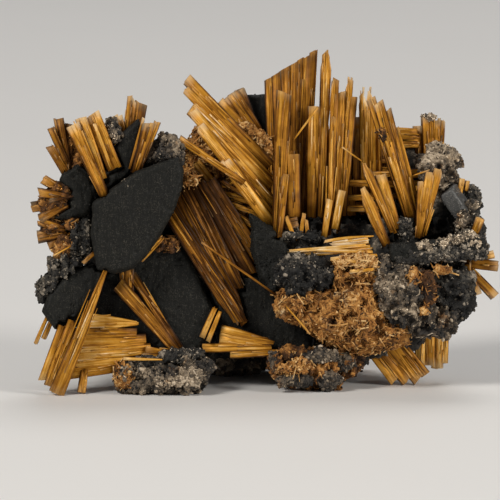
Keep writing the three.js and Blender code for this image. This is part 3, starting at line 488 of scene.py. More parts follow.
# Crusts: node, its slot, grains, threads, middle tone and share of glinting grains.
CRUSTS = {
    "tower_knob": ("grey_crust", 700, 0, 0.4, 0.1),
    "tower_top_crust": ("grey_crust", 700, 0, 0.5, 0.5),
    "left_crust": ("black_crust", 2600, 20, 0.58, 0.3),
    "left_foot_crust": ("grey_crust", 2800, 90, 0.46, 0.05),
    "centre_foot_crust": ("brown_crust", 2200, 200, 0.33, 0.02),
    "brown_crust": ("brown_crust", 2200, 2600, 0.5, 0.0),
    "brown_mat": ("brown_crust", 900, 1700, 0.5, 0.0),
    "dark_crust": ("black_crust", 2400, 10, 0.5, 0.06),
    "grey_crust": ("grey_crust", 3600, 60, 0.47, 0.03),
    "right_black_crust": ("black_crust", 1800, 10, 0.5, 0.12),
    "right_knob": ("grey_crust", 1500, 20, 0.62, 0.08),
    "right_edge_crust": ("black_crust", 1500, 30, 0.62, 0.2),
    "back_foot_crust": ("grey_crust", 2000, 60, 0.5, 0.04),
    "matrix": ("black_crust", 3600, 60, 0.5, 0.06),
}
# Small clusters of crumbs between the pieces: slot, grains, threads, tone, share of glinting
# grains, then the centre and half sizes of each lump.
CLUSTERS = {
    "edge_crumbs_upper": ("brown_crust", 160, 90, 0.24, 0.1, [
        (6.9, 14.6, -6.9, 0.9, 1.9, 0.7), (7.6, 16.6, -7.0, 0.9, 1.3, 0.7),
    ]),
    "edge_crumbs_middle": ("brown_crust", 260, 110, 0.26, 0.2, [
        (5.8, 19.2, -7.9, 1.2, 0.9, 0.6), (5.4, 20.4, -7.8, 1.4, 0.9, 0.6),
        (5.2, 22.6, -7.6, 1.0, 1.3, 0.6),
    ]),
    "edge_crumbs_lower": ("brown_crust", 200, 60, 0.24, 0.3, [
        (6.3, 24.8, -7.9, 0.9, 1.3, 0.6), (7.2, 22.4, -8.0, 0.7, 0.5, 0.4),
    ]),
    "band_crumbs": ("brown_crust", 360, 110, 0.62, 0.0, [
        (24.5, 13.1, -2.6, 1.3, 0.8, 0.4), (25.9, 14.5, -2.5, 1.1, 1.4, 0.4),
    ]),
    "shelf_rim": ("grey_crust", 900, 0, 0.68, 0.6, [
        (42.6, 24.5, -8.1, 0.9, 0.2, 0.4), (44.1, 24.3, -8.1, 1.0, 0.3, 0.4),
        (45.6, 24.0, -8.0, 1.0, 0.45, 0.5), (46.9, 24.0, -7.4, 0.8, 0.6, 0.8),
        (47.4, 24.6, -8.1, 0.7, 0.5, 0.4),
    ]),
    "shelf_front": ("black_crust", 1300, 20, 0.68, 0.16, [
        (42.3, 25.7, -8.15, 1.8, 0.5, 0.25), (44.6, 25.3, -8.2, 1.9, 0.7, 0.3),
        (46.6, 25.2, -8.0, 1.2, 0.7, 0.3), (47.5, 25.2, -8.1, 0.9, 0.8, 0.4),
        (48.1, 24.9, -6.6, 0.4, 0.9, 1.6), (40.6, 25.9, -8.1, 1.2, 0.5, 0.25),
    ]),
    "left_gap_bits": ("black_crust", 120, 10, 0.45, 0.05, [(7.9, 32.2, -7.2, 0.9, 0.7, 0.4)]),
    "blade_crumbs": ("brown_crust", 30, 14, 0.16, 0.2, [(38.35, 13.5, -4.55, 0.2, 0.8, 0.13)]),
    "block_crumbs": ("grey_crust", 70, 0, 0.62, 0.6, [(42.9, 11.6, 0.35, 0.8, 0.3, 0.35)]),
    "vee_crumbs": ("black_crust", 420, 16, 0.74, 0.35, [(40.6, 23.0, -4.95, 0.8, 1.3, 0.25)]),
    "facet_rim": ("grey_crust", 300, 6, 0.56, 0.5, [
        (46.3, 21.9, -4.5, 0.45, 1.0, 0.4), (47.2, 20.5, -4.2, 0.5, 0.6, 0.4),
    ]),
    "foot_orange_spot": ("brown_crust", 120, 160, 0.46, 0.0, [(12.5, 37.5, -9.0, 0.9, 1.4, 0.4)]),
    "front_glints": ("black_crust", 60, 0, 0.7, 0.9, [
        (12.4, 18.6, -9.6, 0.3, 0.4, 0.2), (12.0, 19.6, -9.7, 0.2, 0.2, 0.2),
        (17.2, 35.2, -8.4, 0.25, 0.6, 0.2),
    ]),
    "foot_dark_bits": ("black_crust", 500, 20, 0.6, 0.25, [
        (17.4, 35.6, -8.2, 1.5, 0.6, 0.7), (14.6, 36.2, -8.6, 1.6, 0.5, 0.6),
        (19.4, 35.4, -7.4, 0.9, 0.6, 0.6),
    ]),
    "foot_pale_flakes": ("grey_crust", 520, 10, 0.68, 0.04, [
        (16.8, 37.9, -10.0, 1.3, 0.7, 0.3), (18.9, 37.6, -10.0, 1.3, 0.9, 0.3),
    ]),
    "centre_foot_tan": ("grey_crust", 900, 60, 0.37, 0.02, [
        (29.4, 38.0, -7.8, 1.9, 0.7, 0.4), (32.0, 35.5, -7.5, 1.9, 0.7, 0.4),
        (32.8, 37.9, -7.1, 1.4, 0.9, 0.4), (27.5, 36.2, -7.1, 0.7, 1.2, 0.4),
        (34.4, 36.2, -6.6, 1.0, 0.9, 0.4),
    ]),
    "centre_foot_orange": ("brown_crust", 500, 60, 0.54, 0.0, [(29.6, 36.6, -8.1, 1.5, 0.7, 0.3)]),
    "tablet_gap_crumbs": ("brown_crust", 70, 14, 0.4, 0.0, [(16.9, 24.5, -6.6, 1.2, 0.8, 0.35)]),
    "hollow_lining": ("brown_crust", 60, 60, 0.16, 0.0, [(42.7, 28.9, -8.7, 0.8, 1.8, 0.4)]),
    "orange_spots": ("brown_crust", 60, 70, 0.56, 0.0, [
        (41.2, 27.7, -9.0, 0.5, 0.8, 0.35), (44.2, 26.9, -8.3, 0.8, 0.4, 0.3),
        (42.4, 31.0, -8.9, 0.6, 0.3, 0.3),
    ]),
    "bar_splinters": ("brown_crust", 60, 330, 0.78, 0.0, [
        (34.6, 26.2, -8.1, 0.9, 0.5, 0.3), (36.4, 26.3, -8.1, 1.3, 0.7, 0.35),
    ]),
    "knob_crumbs": ("brown_crust", 50, 260, 0.5, 0.0, [
        (18.5, 16.0, -5.2, 0.7, 1.5, 0.5), (18.9, 18.0, -4.8, 0.8, 1.2, 0.5),
    ]),
    # rear_dark_bits: dark crust lumps set in the deep shadow of the cavity and behind the rungs, a
    # painted shade.
    "rear_dark_bits": ("black_crust", 160, 10, 0.5, 0.1, [
        (41.9, 20.6, -1.6, 1.2, 1.4, 0.8), (44.3, 20.8, -2.0, 1.0, 1.1, 0.8),
        (41.0, 16.6, 0.8, 1.1, 2.1, 0.6), (38.6, 18.6, 0.9, 2.4, 2.4, 0.6),
        (34.6, 20.4, 0.9, 1.6, 1.8, 0.6),
    ]),
    # underside_bits: dark crust lumps that fill the shaded gaps under the lower right laths, a painted
    # shade.
    "underside_bits": ("black_crust", 260, 10, 0.5, 0.05, [
        (35.2, 35.5, -4.3, 1.9, 1.2, 1.2), (37.6, 34.8, -3.9, 1.4, 0.9, 1.0),
        (40.7, 34.2, -2.4, 1.2, 1.0, 0.8), (41.6, 33.4, -2.0, 0.9, 0.9, 0.8),
    ]),
    "back_seam_crumbs": ("grey_crust", 1200, 60, 0.5, 0.1, [
        (26.8, 30.0, 3.4, 2.2, 2.4, 1.4), (27.8, 26.0, 3.2, 2.2, 2.6, 1.4),
        (29.8, 23.2, 3.0, 1.8, 1.9, 1.2), (20.2, 24.6, 3.6, 1.2, 1.4, 1.3),
    ]),
    "back_brown_crumbs": ("brown_crust", 900, 500, 0.42, 0.0, [
        (33.4, 31.6, 3.8, 3.0, 1.6, 1.5), (38.6, 31.8, 3.2, 2.6, 1.7, 1.7),
        (14.2, 31.2, 2.6, 2.6, 1.5, 1.6), (16.6, 20.2, 3.0, 1.6, 1.0, 1.2),
    ]),
    "back_rim_crumbs": ("black_crust", 900, 20, 0.6, 0.25, [
        (10.2, 24.8, 1.6, 1.2, 2.6, 1.4), (42.8, 25.0, 3.0, 1.2, 3.0, 1.6),
        (36.6, 19.4, 3.2, 2.4, 0.9, 1.2), (10.1, 26.2, 4.6, 0.8, 2.4, 1.7),
        (12.8, 30.2, 4.8, 2.4, 0.8, 1.4), (42.8, 22.6, 5.4, 0.8, 1.6, 1.3),
    ]),
    "stub_crumbs": ("black_crust", 160, 40, 0.5, 0.1, [
        (29.4, 23.7, -5.4, 1.4, 0.4, 0.4), (31.2, 23.7, -5.2, 0.8, 0.4, 0.4),
    ]),
}


class RutileSettings(bpy.types.PropertyGroup):
    """Sizes and colours of the rutile laths."""

    rib_width: bpy.props.FloatProperty(
        name="Rib width", description="Mean width of the ribs in a lath, in mm", default=0.55, min=0.1
    )
    relief: bpy.props.FloatProperty(
        name="Relief", description="How far ribs stand out from each other, in mm", default=0.022
    )
    ragged: bpy.props.FloatProperty(
        name="Ragged tips", description="How far the ribs' ends differ, in mm", default=0.7
    )
    splinters: bpy.props.FloatProperty(
        name="Splinters", description="Fine splinters for each mm of a lath", default=0.8
    )
    dark: bpy.props.FloatVectorProperty(
        name="Dark", description="Colour deep in a lath", subtype="COLOR", default=(0.035, 0.013, 0.003)
    )
    golden: bpy.props.FloatVectorProperty(
        name="Golden", description="Main colour", subtype="COLOR", default=(0.53, 0.238, 0.019)
    )
    # The pale colour of the tips is part wear and part painted highlight.
    pale: bpy.props.FloatVectorProperty(
        name="Pale", description="Colour of worn tips", subtype="COLOR", default=(0.8, 0.62, 0.38)
    )


class HematiteSettings(bpy.types.PropertyGroup):
    """Sizes and colours of the hematite tablets."""

    cell: bpy.props.FloatProperty(
        name="Mesh size", description="Size of the tablets' mesh, in mm", default=0.135, min=0.1
    )
    slate: bpy.props.FloatVectorProperty(
        name="Slate", description="Main colour", subtype="COLOR", default=(0.006, 0.0062, 0.005)
    )
    bloom: bpy.props.FloatVectorProperty(
        name="Bloom", description="Colour of worn spots", subtype="COLOR", default=(0.05, 0.046, 0.036)
    )


class CrustSettings(bpy.types.PropertyGroup):
    """Sizes of the crusts and their grains."""

    cell: bpy.props.FloatProperty(
        name="Mesh size", description="Size of the crusts' mesh, in mm", default=0.14, min=0.1
    )
    matrix_cell: bpy.props.FloatProperty(
        name="Matrix mesh size", description="Size of the matrix's mesh, in mm", default=0.3, min=0.1
    )
    lump: bpy.props.FloatProperty(
        name="Lumps", description="Height of the crusts' lumps, in mm", default=0.75
    )
    grain: bpy.props.FloatProperty(
        name="Grain", description="Mean size of a loose grain, in mm", default=0.11
    )


class StageSettings(bpy.types.PropertyGroup):
    """The camera and the floor."""

    distance: bpy.props.FloatProperty(
        name="Camera distance", description="From the specimen's front", unit="LENGTH", default=0.9
    )
    field: bpy.props.FloatProperty(
        name="Field", description="Width seen at the specimen", unit="LENGTH", default=0.05
    )
    floor: bpy.props.FloatVectorProperty(
        name="Floor", description="Colour of the floor", subtype="COLOR", default=(0.78, 0.77, 0.755)
    )


def to_row(points):
    """Sheet points in millimetres as row points in metres, none of them under the floor."""
    matrix = np.array(SHEET)
    placed = (points @ matrix[:3, :3].T + matrix[:3, 3]) * MM
    placed[:, 2] = np.maximum(placed[:, 2], 0)
    return placed


def finished_piece(name, mesh, finish, nodes):
    """Puts a finished mesh in the scene as a piece that rides with the specimen."""
    piece = bpy.data.objects.new(name, mesh)
    bpy.context.scene.collection.objects.link(piece)
    mesh.materials.append(finish)
    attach(piece, "root")
    if nodes:
        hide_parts(*nodes)


def triangle_mesh(name, points, faces, **attributes):
    """A mesh from arrays of points in metres and triangles, with named vectors at the points."""
    mesh = bpy.data.meshes.new(name)
    mesh.vertices.add(len(points))
    mesh.vertices.foreach_set("co", points.astype(np.float32).ravel())
    mesh.loops.add(faces.size)
    mesh.loops.foreach_set("vertex_index", faces.astype(np.int32).ravel())
    mesh.polygons.add(len(faces))
    mesh.polygons.foreach_set("loop_start", np.arange(0, faces.size, 3, dtype=np.int32))
    mesh.update(calc_edges=True)
    for key, values in attributes.items():
        layer = mesh.attributes.new(key, "FLOAT_VECTOR", "POINT")
        layer.data.foreach_set("vector", values.astype(np.float32).ravel())
    return mesh


def arrays_of(form):
    """A bmesh as arrays of its points and triangles."""
    bmesh.ops.triangulate(form, faces=form.faces)
    form.verts.ensure_lookup_table()
    points = np.array([vert.co for vert in form.verts])
    faces = np.array([[vert.index for vert in face.verts] for face in form.faces])
    form.free()
    return points, faces


def long_edges(form):
    """The edges that run along a unit strip."""
    return [edge for edge in form.edges if abs(edge.verts[0].co.y - edge.verts[1].co.y) > 0.5]


def in_order(points, faces):
    """The same form with its points and triangles in the order of their places."""
    order = np.lexsort(points.round(4).T)
    faces = np.argsort(order)[faces]
    faces = np.array([np.roll(face, -face.argmin()) for face in faces])
    return points[order], faces[np.lexsort(faces.T)]


def strip_form(worn, cuts):
    """A unit strip: x across, y along it from 0 to 1, z outwards, its long edges bevelled if worn."""
    form = bmesh.new()
    bmesh.ops.create_cube(form, size=1)
    bmesh.ops.translate(form, verts=form.verts, vec=(0, 0.5, 0))
    if worn:
        bmesh.ops.bevel(
            form,
            geom=long_edges(form),
            offset=0.1,
            segments=1,
            profile=0.5,
            affect="EDGES",
            material=-1,
        )
    bmesh.ops.subdivide_edges(form, edges=long_edges(form), cuts=cuts, use_grid_fill=True)
    form.verts.index_update()
    return in_order(*arrays_of(form))


def grain_form():
    """A small chip of about unit radius."""
    form = bmesh.new()
    bmesh.ops.create_icosphere(form, subdivisions=1, radius=1)
    form.verts.index_update()
    return arrays_of(form)


def repeated(faces, count, size):
    """The triangles of several copies of a form with so many points, one after another."""
    return (faces[None] + (np.arange(count) * size)[:, None, None]).reshape(-1, 3)


class Strips:
    """Collects strips of rutile, each a unit strip that is stretched and bent."""

    FIELDS = "start end out width thick foot slant bow tone pale seat spread".split()

    def __init__(self, seed, worn=True, cuts=3):
        self.random = np.random.default_rng(seed)
        self.form = strip_form(worn, cuts)
        self.rows = {field: [] for field in self.FIELDS}

    def add(self, **fields):
        for key in self.FIELDS:
            self.rows[key].append(fields[key])

    def arrays(self):
        """The strips' points and triangles, and the vectors at the points that their looks need."""
        unit, faces = self.form
        rows = {key: np.array(values, float)[:, None] for key, values in self.rows.items()}
        count = len(self.rows["tone"])
        span = rows["end"] - rows["start"]
        length = np.linalg.norm(span, axis=-1)
        along = span / length[..., None]
        out = rows["out"] - along * np.sum(rows["out"] * along, axis=-1)[..., None]
        out /= np.linalg.norm(out, axis=-1)[..., None]
        across = np.cross(along, out)
        a, t, n = unit.T[:, None]
        share = rows["foot"] + (1 - rows["foot"]) * np.minimum(t * FOOT_GROWTH, 1)
        side = a * rows["width"] * share + rows["bow"] * np.sin(math.pi * t)
        forth = t * length + (t > TIP_START) * rows["slant"] * a
        steps = np.round(unit[:, 1] * WAVE_STEPS).astype(int)
        wave = self.random.normal(0, 1, (count, WAVE_STEPS + 1))[:, steps]
        depth = n * rows["thick"] * (1 + WAVE_HEIGHT * wave)
        points = rows["start"] + side[..., None] * across
        points = points + forth[..., None] * along + depth[..., None] * out
        apart = self.random.uniform(0, GRAIN_RANGE, (count, 1))
        looks = {
            "grain": (side + depth * 0.7 + apart, forth, apart),
            "look": (rows["tone"], (1 - t) * length, rows["pale"]),
            # spot places the painted shade along a lath's long edges and towards its foot.
            "spot": (rows["seat"] + 2 * a * rows["spread"], t, 0),
        }
        for key, values in looks.items():
            looks[key] = np.stack(np.broadcast_arrays(*values), axis=-1).reshape(-1, 3)
        return points.reshape(-1, 3), repeated(faces, count, len(unit)), looks


def lath_frame(row):
    """A lath's foot and length, and its ways along, outwards to the eye and across."""
    foot, tip = np.array(row[0:3], float), np.array(row[3:6], float)
    span = tip - foot
    length = np.linalg.norm(span)
    along = span / length
    out = TO_EYE - along * (TO_EYE @ along)
    out /= np.linalg.norm(out)
    return foot, length, along, out, np.cross(along, out)


def add_ribs(strips, row, lath_tone, pale, rough, settings):
    """The ribs of a lath, whose ends follow its tip and break off unevenly."""
    random = strips.random
    foot, length, along, out, across = lath_frame(row)
    width, thick = row[6:8]
    foot_share, tip_share, slant = (*row[PLAIN_VALUES:], *PLAIN_ENDS[len(row) - PLAIN_VALUES :])
    pointed = TAPER_RATE * width * (1 - tip_share)
    taper = min(length * TAPER_LIMIT, pointed + abs(slant) / 2 + 0.05)
    rib = settings.rib_width * (0.5 if tip_share < 0.5 and width > 0.5 else 1)
    count = max(1 if width < NEEDLE_WIDTH else 2, round(width / rib))
    cuts = np.cumsum(random.lognormal(0, RIB_WIDTH_SPREAD, count).clip(*RIB_WIDTH_LIMITS))
    cuts = np.concatenate([[0], cuts]) / cuts[-1] - 0.5
    ragged = min(settings.ragged, length * BROKEN_LIMIT) * rough if width > NEEDLE_WIDTH else 0
    broken = 0.0
    for low, high in zip(cuts[:-1], cuts[1:]):
        middle = (low + high) / 2
        beyond = max(0, abs(middle) - tip_share / 2) / max(0.5 - tip_share / 2, 0.01)
        reach = length - taper * min(beyond, 1) + slant * middle
        if random.uniform() < BROKEN_SHARE:
            broken = random.uniform(0, 1) ** BREAK_POWER * ragged
        reach -= broken + random.uniform(0, EARLY_TIP)
        edge = taper * (high - low) * RIB_OVERLAP / (0.5 - tip_share / 2) if beyond > 0 else 0
        edge = min(edge, 2 * taper * min(beyond, 1) + 0.1)
        cut = slant * (high - low) * RIB_OVERLAP - math.copysign(edge, middle)
        late = random.uniform(0, LATE_FOOT)
        lift = random.uniform(-1, 1) * settings.relief if count > 1 else 0
        if random.uniform() < SUNK_SHARE and count > 3:
            lift -= settings.relief * SUNK_RELIEF
        strips.add(
            start=foot + across * middle * width * foot_share + along * late + out * lift,
            end=foot + across * middle * width + along * reach + out * lift,
            out=out + across * random.normal(0, RIB_TILT),
            width=(high - low) * width * RIB_OVERLAP,
            thick=thick * random.uniform(*RIB_THICKNESS),
            foot=foot_share,
            slant=cut + random.normal(0, CUT_SPREAD * rough),
            bow=random.normal(0, 0.012 + 0.05 * max(0, rough - 1)),
            tone=lath_tone + random.normal(0, RIB_TONE_SPREAD),
            pale=pale * random.uniform(*RIB_PALENESS),
            seat=2 * middle,
            spread=(high - low) * RIB_SEAM_SHADE,
        )


def add_splinters(strips, row, lath_tone, settings):
    """Fine splinters that lie over a lath's ribs."""
    random = strips.random
    foot, length, along, out, across = lath_frame(row)
    width, thick = row[6:8]
    for _ in range(int(length * settings.splinters + random.uniform(0, 1))):
        begin = random.uniform(*SPLINTER_START) * length
        reach = min(random.uniform(*SPLINTER_REACH) * length, length - begin - 0.1)
        middle = random.uniform(-0.5, 0.5)
        base = foot + across * middle * width * 0.95 + along * begin + out * (thick / 2 + 0.02)
        drift = random.normal(0, 0.03)
        strips.add(
            start=base,
            end=base + along * reach + across * drift * reach,
            out=out + across * random.normal(0, 0.4),
            width=random.uniform(*SPLINTER_WIDTH),
            thick=random.uniform(*SPLINTER_THICKNESS),
            foot=random.uniform(0.2, 1),
            slant=0,
            bow=random.normal(0, 0.02),
            tone=lath_tone + random.normal(0.02, 0.11),
            pale=0.3,
            seat=0,
            spread=0,
        )


def add_lath(strips, row, tone, pale, rough, settings):
    """One lath as a bundle of ribs side by side, with a few splinters over them."""
    lath_tone = tone + strips.random.normal(0, LATH_TONE_SPREAD)
    add_ribs(strips, row, lath_tone, pale, rough, settings)
    width = row[6]
    if width >= SPLINTERED_WIDTH:
        add_splinters(strips, row, lath_tone, settings)


def solid_form(node):
    """A copy of a node's solid in millimetres, its loose triangles merged."""
    form = bmesh.new()
    form.from_mesh(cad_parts[node].data)
    bmesh.ops.scale(form, vec=(1 / MM, 1 / MM, 1 / MM), verts=form.verts)
    bmesh.ops.remove_doubles(form, verts=form.verts, dist=0.002)
    return form


def even_mesh(form, cell, rounds):
    """The form remeshed in even cells and smoothed: its points, normals and triangles."""
    mesh = bpy.data.meshes.new("even")
    form.to_mesh(mesh)
    form.free()
    holder = bpy.data.objects.new("even", mesh)
    bpy.context.scene.collection.objects.link(holder)
    remesh = holder.modifiers.new("Remesh", "REMESH")
    remesh.mode = "VOXEL"
    remesh.voxel_size = cell
    smooth = holder.modifiers.new("Smooth", "SMOOTH")
    smooth.factor = 0.5
    smooth.iterations = rounds
    shaped = bpy.data.meshes.new_from_object(
        holder.evaluated_get(bpy.context.evaluated_depsgraph_get())
    )
    points = np.empty(len(shaped.vertices) * 3, np.float32)
    shaped.vertices.foreach_get("co", points)
    normals = np.empty_like(points)
    shaped.vertex_normals.foreach_get("vector", normals)
    shaped.calc_loop_triangles()
    faces = np.empty(len(shaped.loop_triangles) * 3, np.int32)
    shaped.loop_triangles.foreach_get("vertices", faces)
    bpy.data.objects.remove(holder)
    bpy.data.meshes.remove(mesh)
    bpy.data.meshes.remove(shaped)
    return points.reshape(-1, 3).astype(float), normals.reshape(-1, 3), faces.reshape(-1, 3)


def scattered(points, normals, faces, count, random):
    """Random spots on a surface, spread by area: places and normals."""
    corners = points[faces]
    areas = np.linalg.norm(
        np.cross(corners[:, 1] - corners[:, 0], corners[:, 2] - corners[:, 0]), axis=1
    )
    picks = random.choice(len(faces), count, p=areas / areas.sum())
    mix = random.dirichlet((1, 1, 1), count)
    places = np.einsum("ij,ijk->ik", mix, corners[picks])
    facing = normals[faces[picks]].mean(axis=1)
    return places, facing / np.linalg.norm(facing, axis=1)[:, None]


def stamped_grains(places, facing, sizes, random):
    """Chips of random proportions and turns: points, triangles and how many points one has."""
    unit, faces = grain_form()
    count = len(places)
    turn = random.normal(0, 1, (count, 3)) + facing
    turn /= np.linalg.norm(turn, axis=1)[:, None]
    side = np.cross(turn, random.normal(0, 1, (count, 3)))
    side /= np.linalg.norm(side, axis=1)[:, None]
    basis = np.stack([side, np.cross(turn, side), turn], axis=1)
    stretch = random.uniform(*GRAIN_STRETCH, (count, 1, 3)) * sizes[:, None, None]
    jag = 1 + random.normal(0, GRAIN_JAG, (count, len(unit), 1))
    points = places[:, None, :] + np.einsum("kij,kjl->kil", unit[None] * stretch * jag, basis)
    return points.reshape(-1, 3), repeated(faces, count, len(unit)), len(unit)


def above_floor(points):
    """Row points in millimetres as metres, none of them under the floor."""
    placed = points * MM
    placed[:, 2] = np.maximum(placed[:, 2], 0)
    return placed


class Wire:
    """A shader value; arithmetic on it adds Math nodes."""

    def __init__(self, finish, socket):
        self.finish = finish
        self.socket = socket

    def sum_with(self, operation, first, second, clamp=False):
        settings = {"operation": operation, "use_clamp": clamp}
        node = self.finish.node("ShaderNodeMath", settings, {0: first, 1: second})
        return self.finish.wire(node)

    def __add__(self, other):
        return self.sum_with("ADD", self, other)

    def __sub__(self, other):
        return self.sum_with("SUBTRACT", self, other)

    def __rsub__(self, other):
        return self.sum_with("SUBTRACT", other, self)

    def __mul__(self, other):
        return self.sum_with("MULTIPLY", self, other)

    def __truediv__(self, other):
        return self.sum_with("DIVIDE", self, other)

    def __pow__(self, other):
        return self.sum_with("POWER", self, other)

    __radd__ = __add__

    def clamped(self):
        return self.sum_with("ADD", self, 0.0, clamp=True)


class Finish:
    """One material and the few ways its nodes are added."""

    def __init__(self, name):
        self.material = bpy.data.materials.new(name)
        self.material.use_nodes = True
        self.tree = self.material.node_tree
        self.tree.nodes.clear()

    def node(self, kind, settings=None, inputs=None):
        made = self.tree.nodes.new(kind)
        for key, value in (settings or {}).items():
            if key == "stops":
                self.set_stops(made.color_ramp.elements, value)
            else:
                setattr(made, key, value)
        for key, value in (inputs or {}).items():
            if isinstance(value, Wire):
                self.tree.links.new(value.socket, made.inputs[key])
            else:
                made.inputs[key].default_value = value
        return made

    @staticmethod
    def set_stops(elements, stops):
        while len(elements) < len(stops):
            elements.new(1.0)
        for element, (position, color) in zip(elements, stops):
            element.position = position
            element.color = (*color, 1.0)

    def wire(self, node, output=0):
        return Wire(self, node.outputs[output])

    def attribute(self, name):
        return self.wire(self.node("ShaderNodeAttribute", {"attribute_name": name}), "Vector")

    def parts(self, vector):
        node = self.node("ShaderNodeSeparateXYZ", None, {0: vector})
        return [self.wire(node, index) for index in range(3)]

    def stretched(self, vector, scale):
        settings = {"operation": "MULTIPLY"}
        return self.wire(self.node("ShaderNodeVectorMath", settings, {0: vector, 1: scale}))

    def millimetres(self):
        place = self.wire(self.node("ShaderNodeTexCoord"), "Object")
        return self.wire(self.node("ShaderNodeMapping", None, {0: place, 3: (1000, 1000, 1000)}))

    def noise(self, vector, scale, detail=3.0, roughness=0.55):
        inputs = {"Vector": vector, "Scale": scale, "Detail": detail, "Roughness": roughness}
        return self.wire(self.node("ShaderNodeTexNoise", None, inputs))

    def ramp(self, value, stops):
        return self.wire(self.node("ShaderNodeValToRGB", {"stops": stops}, {0: value}))

    def mixed(self, factor, first, second):
        settings = {"data_type": "RGBA"}
        colors = [c if isinstance(c, Wire) else (*c, 1.0) for c in (first, second)]
        node = self.node("ShaderNodeMix", settings, {0: factor, 6: colors[0], 7: colors[1]})
        return self.wire(node, 2)

    def bump(self, height, distance, strength=1.0):
        inputs = {"Height": height, "Distance": distance * MM, "Strength": strength}
        return self.wire(self.node("ShaderNodeBump", None, inputs))

    def surface(self, **inputs):
        named = {key.replace("_", " "): value for key, value in inputs.items()}
        shader = self.node("ShaderNodeBsdfPrincipled", None, named)
        self.node("ShaderNodeOutputMaterial", None, {"Surface": self.wire(shader)})
        return self.material


def rutile_finish(settings):
    """Satin golden brown, striated along each lath; pale tips are part wear, part painted highlight;
    painted shade darkens each lath's long edges and its foot.
    """
    finish = Finish(RUTILE_FINISH)
    grain = finish.attribute("grain")
    tone, reach, pale = finish.parts(finish.attribute("look"))
    across, along, _ = finish.parts(finish.attribute("spot"))
    broad = finish.noise(finish.stretched(grain, (1.8, 0.08, 1)), 1.0, 2.0)
    fine = finish.noise(finish.stretched(grain, (11, 0.25, 1)), 1.0, 3.0)
    blotch = finish.noise(grain, 0.6, 3.0)
    # Painted shade: each lath is darker along its long edges, where the gaps between laths lie in
    # shadow.
    seam_shade = across ** 8
    # Painted shade: each lath darkens towards its foot, where it sits in shadow.
    root = (1 - along) ** 3
    level = tone - 0.01 + (broad - 0.5) * 0.8 + (fine - 0.5) * 0.7 + (blotch - 0.5) * 0.6
    level = level - seam_shade.clamped() * 0.3 - root * 0.16
    dark, golden, light = tuple(settings.dark), tuple(settings.golden), tuple(settings.pale)
    color = finish.ramp(
        level,
        [
            (0.05, dark),
            (0.26, RUTILE_BROWN),
            (0.45, RUTILE_AMBER),
            (0.63, golden),
            (0.86, RUTILE_HONEY),
            (1.0, light),
        ],
    )
    # Pale tips: part wear, part painted highlight where the tips catch the light from above.
    worn = ((1 - reach / 0.9) * pale * (0.45 + blotch)).clamped()
    color = finish.mixed(worn * 0.75, color, light)
    return finish.surface(
        Base_Color=color,
        Roughness=0.36 + fine * 0.25 + worn * 0.2,
        Metallic=0.3,
        Specular_IOR_Level=0.2,
        Normal=finish.bump(fine + broad * 0.6, 0.03, 0.8),
    )


def hematite_finish(name, slate, bloom, sheen):
    """Dull slate with a vertical brushed grain and fine worn specks; sheen 1 is a bright facet."""
    finish = Finish(name)
    place = finish.millimetres()
    brushed = finish.noise(finish.stretched(place, (7, 5, 0.9)), 1.0, 3.0)
    mottle = finish.noise(place, 1.6, 5.0, 0.65)
    specks = finish.noise(place, 9.0, 2.0)
    level = ((brushed - 0.5) * 1.8 + (mottle - 0.5) * 1.2 + (specks - 0.55) * 4.5).clamped()
    color = finish.mixed(level, tuple(slate), tuple(bloom))
    return finish.surface(
        Base_Color=color,
        Roughness=(0.45 - 0.15 * sheen) + mottle * 0.3,
        Metallic=0.5 * sheen,
        Specular_IOR_Level=0.2,
        Normal=finish.bump(brushed * 0.7 + specks * 0.8 + mottle, 0.05, 0.8),
    )


CRUST_STOPS = {
    "brown_crust": [
        (0.0, (0.012, 0.005, 0.002)),
        (0.3, (0.09, 0.035, 0.008)),
        (0.55, (0.36, 0.15, 0.03)),
        (0.8, (0.56, 0.285, 0.075)),
        (1.0, (0.76, 0.5, 0.22)),
    ],
    "grey_crust": [
        (0.0, (0.008, 0.008, 0.008)),
        (0.35, (0.04, 0.034, 0.028)),
        (0.6, (0.14, 0.107, 0.074)),
        (0.82, (0.34, 0.266, 0.182)),
        (1.0, (0.6, 0.49, 0.36)),
    ],
    "black_crust": [
        (0.0, (0.003, 0.003, 0.003)),
        (0.45, (0.012, 0.0115, 0.011)),
        (0.75, (0.045, 0.041, 0.034)),
        (0.9, (0.15, 0.125, 0.095)),
        (1.0, (0.32, 0.27, 0.21)),
    ],
}
# How strongly patches of another crust's colours show in each.
CRUST_PATCHES = {"brown_crust": 0.75, "grey_crust": 0.65, "black_crust": 0.6}


def crust_finish(name):
    """Granular crust: every grain has its own tone, a few glint; pits are painted darker as shade,
    knobs lighter.
    """
    finish = Finish(name)
    place = finish.millimetres()
    tone, glint, depth = finish.parts(finish.attribute("look"))
    fine = finish.noise(place, 7.0, 4.0, 0.6)
    broad = finish.noise(place, 0.9, 3.0)
    # depth carries the crust's rise: pits are painted darker, a painted shade, and knobs lighter.
    level = tone + (fine - 0.5) * 0.7 + (broad - 0.5) * 0.6 + depth * 0.4
    other = "brown_crust" if name == "grey_crust" else "grey_crust"
    patch = ((finish.noise(place, 0.42, 3.0, 0.7) - 0.6) * 7).clamped() * CRUST_PATCHES[name]
    own, foreign = (finish.ramp(level, CRUST_STOPS[kind]) for kind in (name, other))
    return finish.surface(
        Base_Color=finish.mixed(patch, own, foreign),
        Roughness=0.85 - glint * 0.65,
        Metallic=glint * 0.6,
        Specular_IOR_Level=0.4,
        Normal=finish.bump(fine, 0.08, 0.9),
    )


def face_rise(spot, swell):
    """How far a tablet's face stands out at a spot: a wide swell, brushed lines and nicks."""
    wide = noise.noise(spot * SWELL_NOISE) + 0.5 * noise.noise(spot * DENT_NOISE)
    brushed = noise.noise(spot * Vector(BRUSHED_NOISE))
    nicks = max(0.0, noise.noise(spot * NICK_NOISE) - 0.25)
    return swell * wide + 0.03 * brushed - 0.25 * nicks


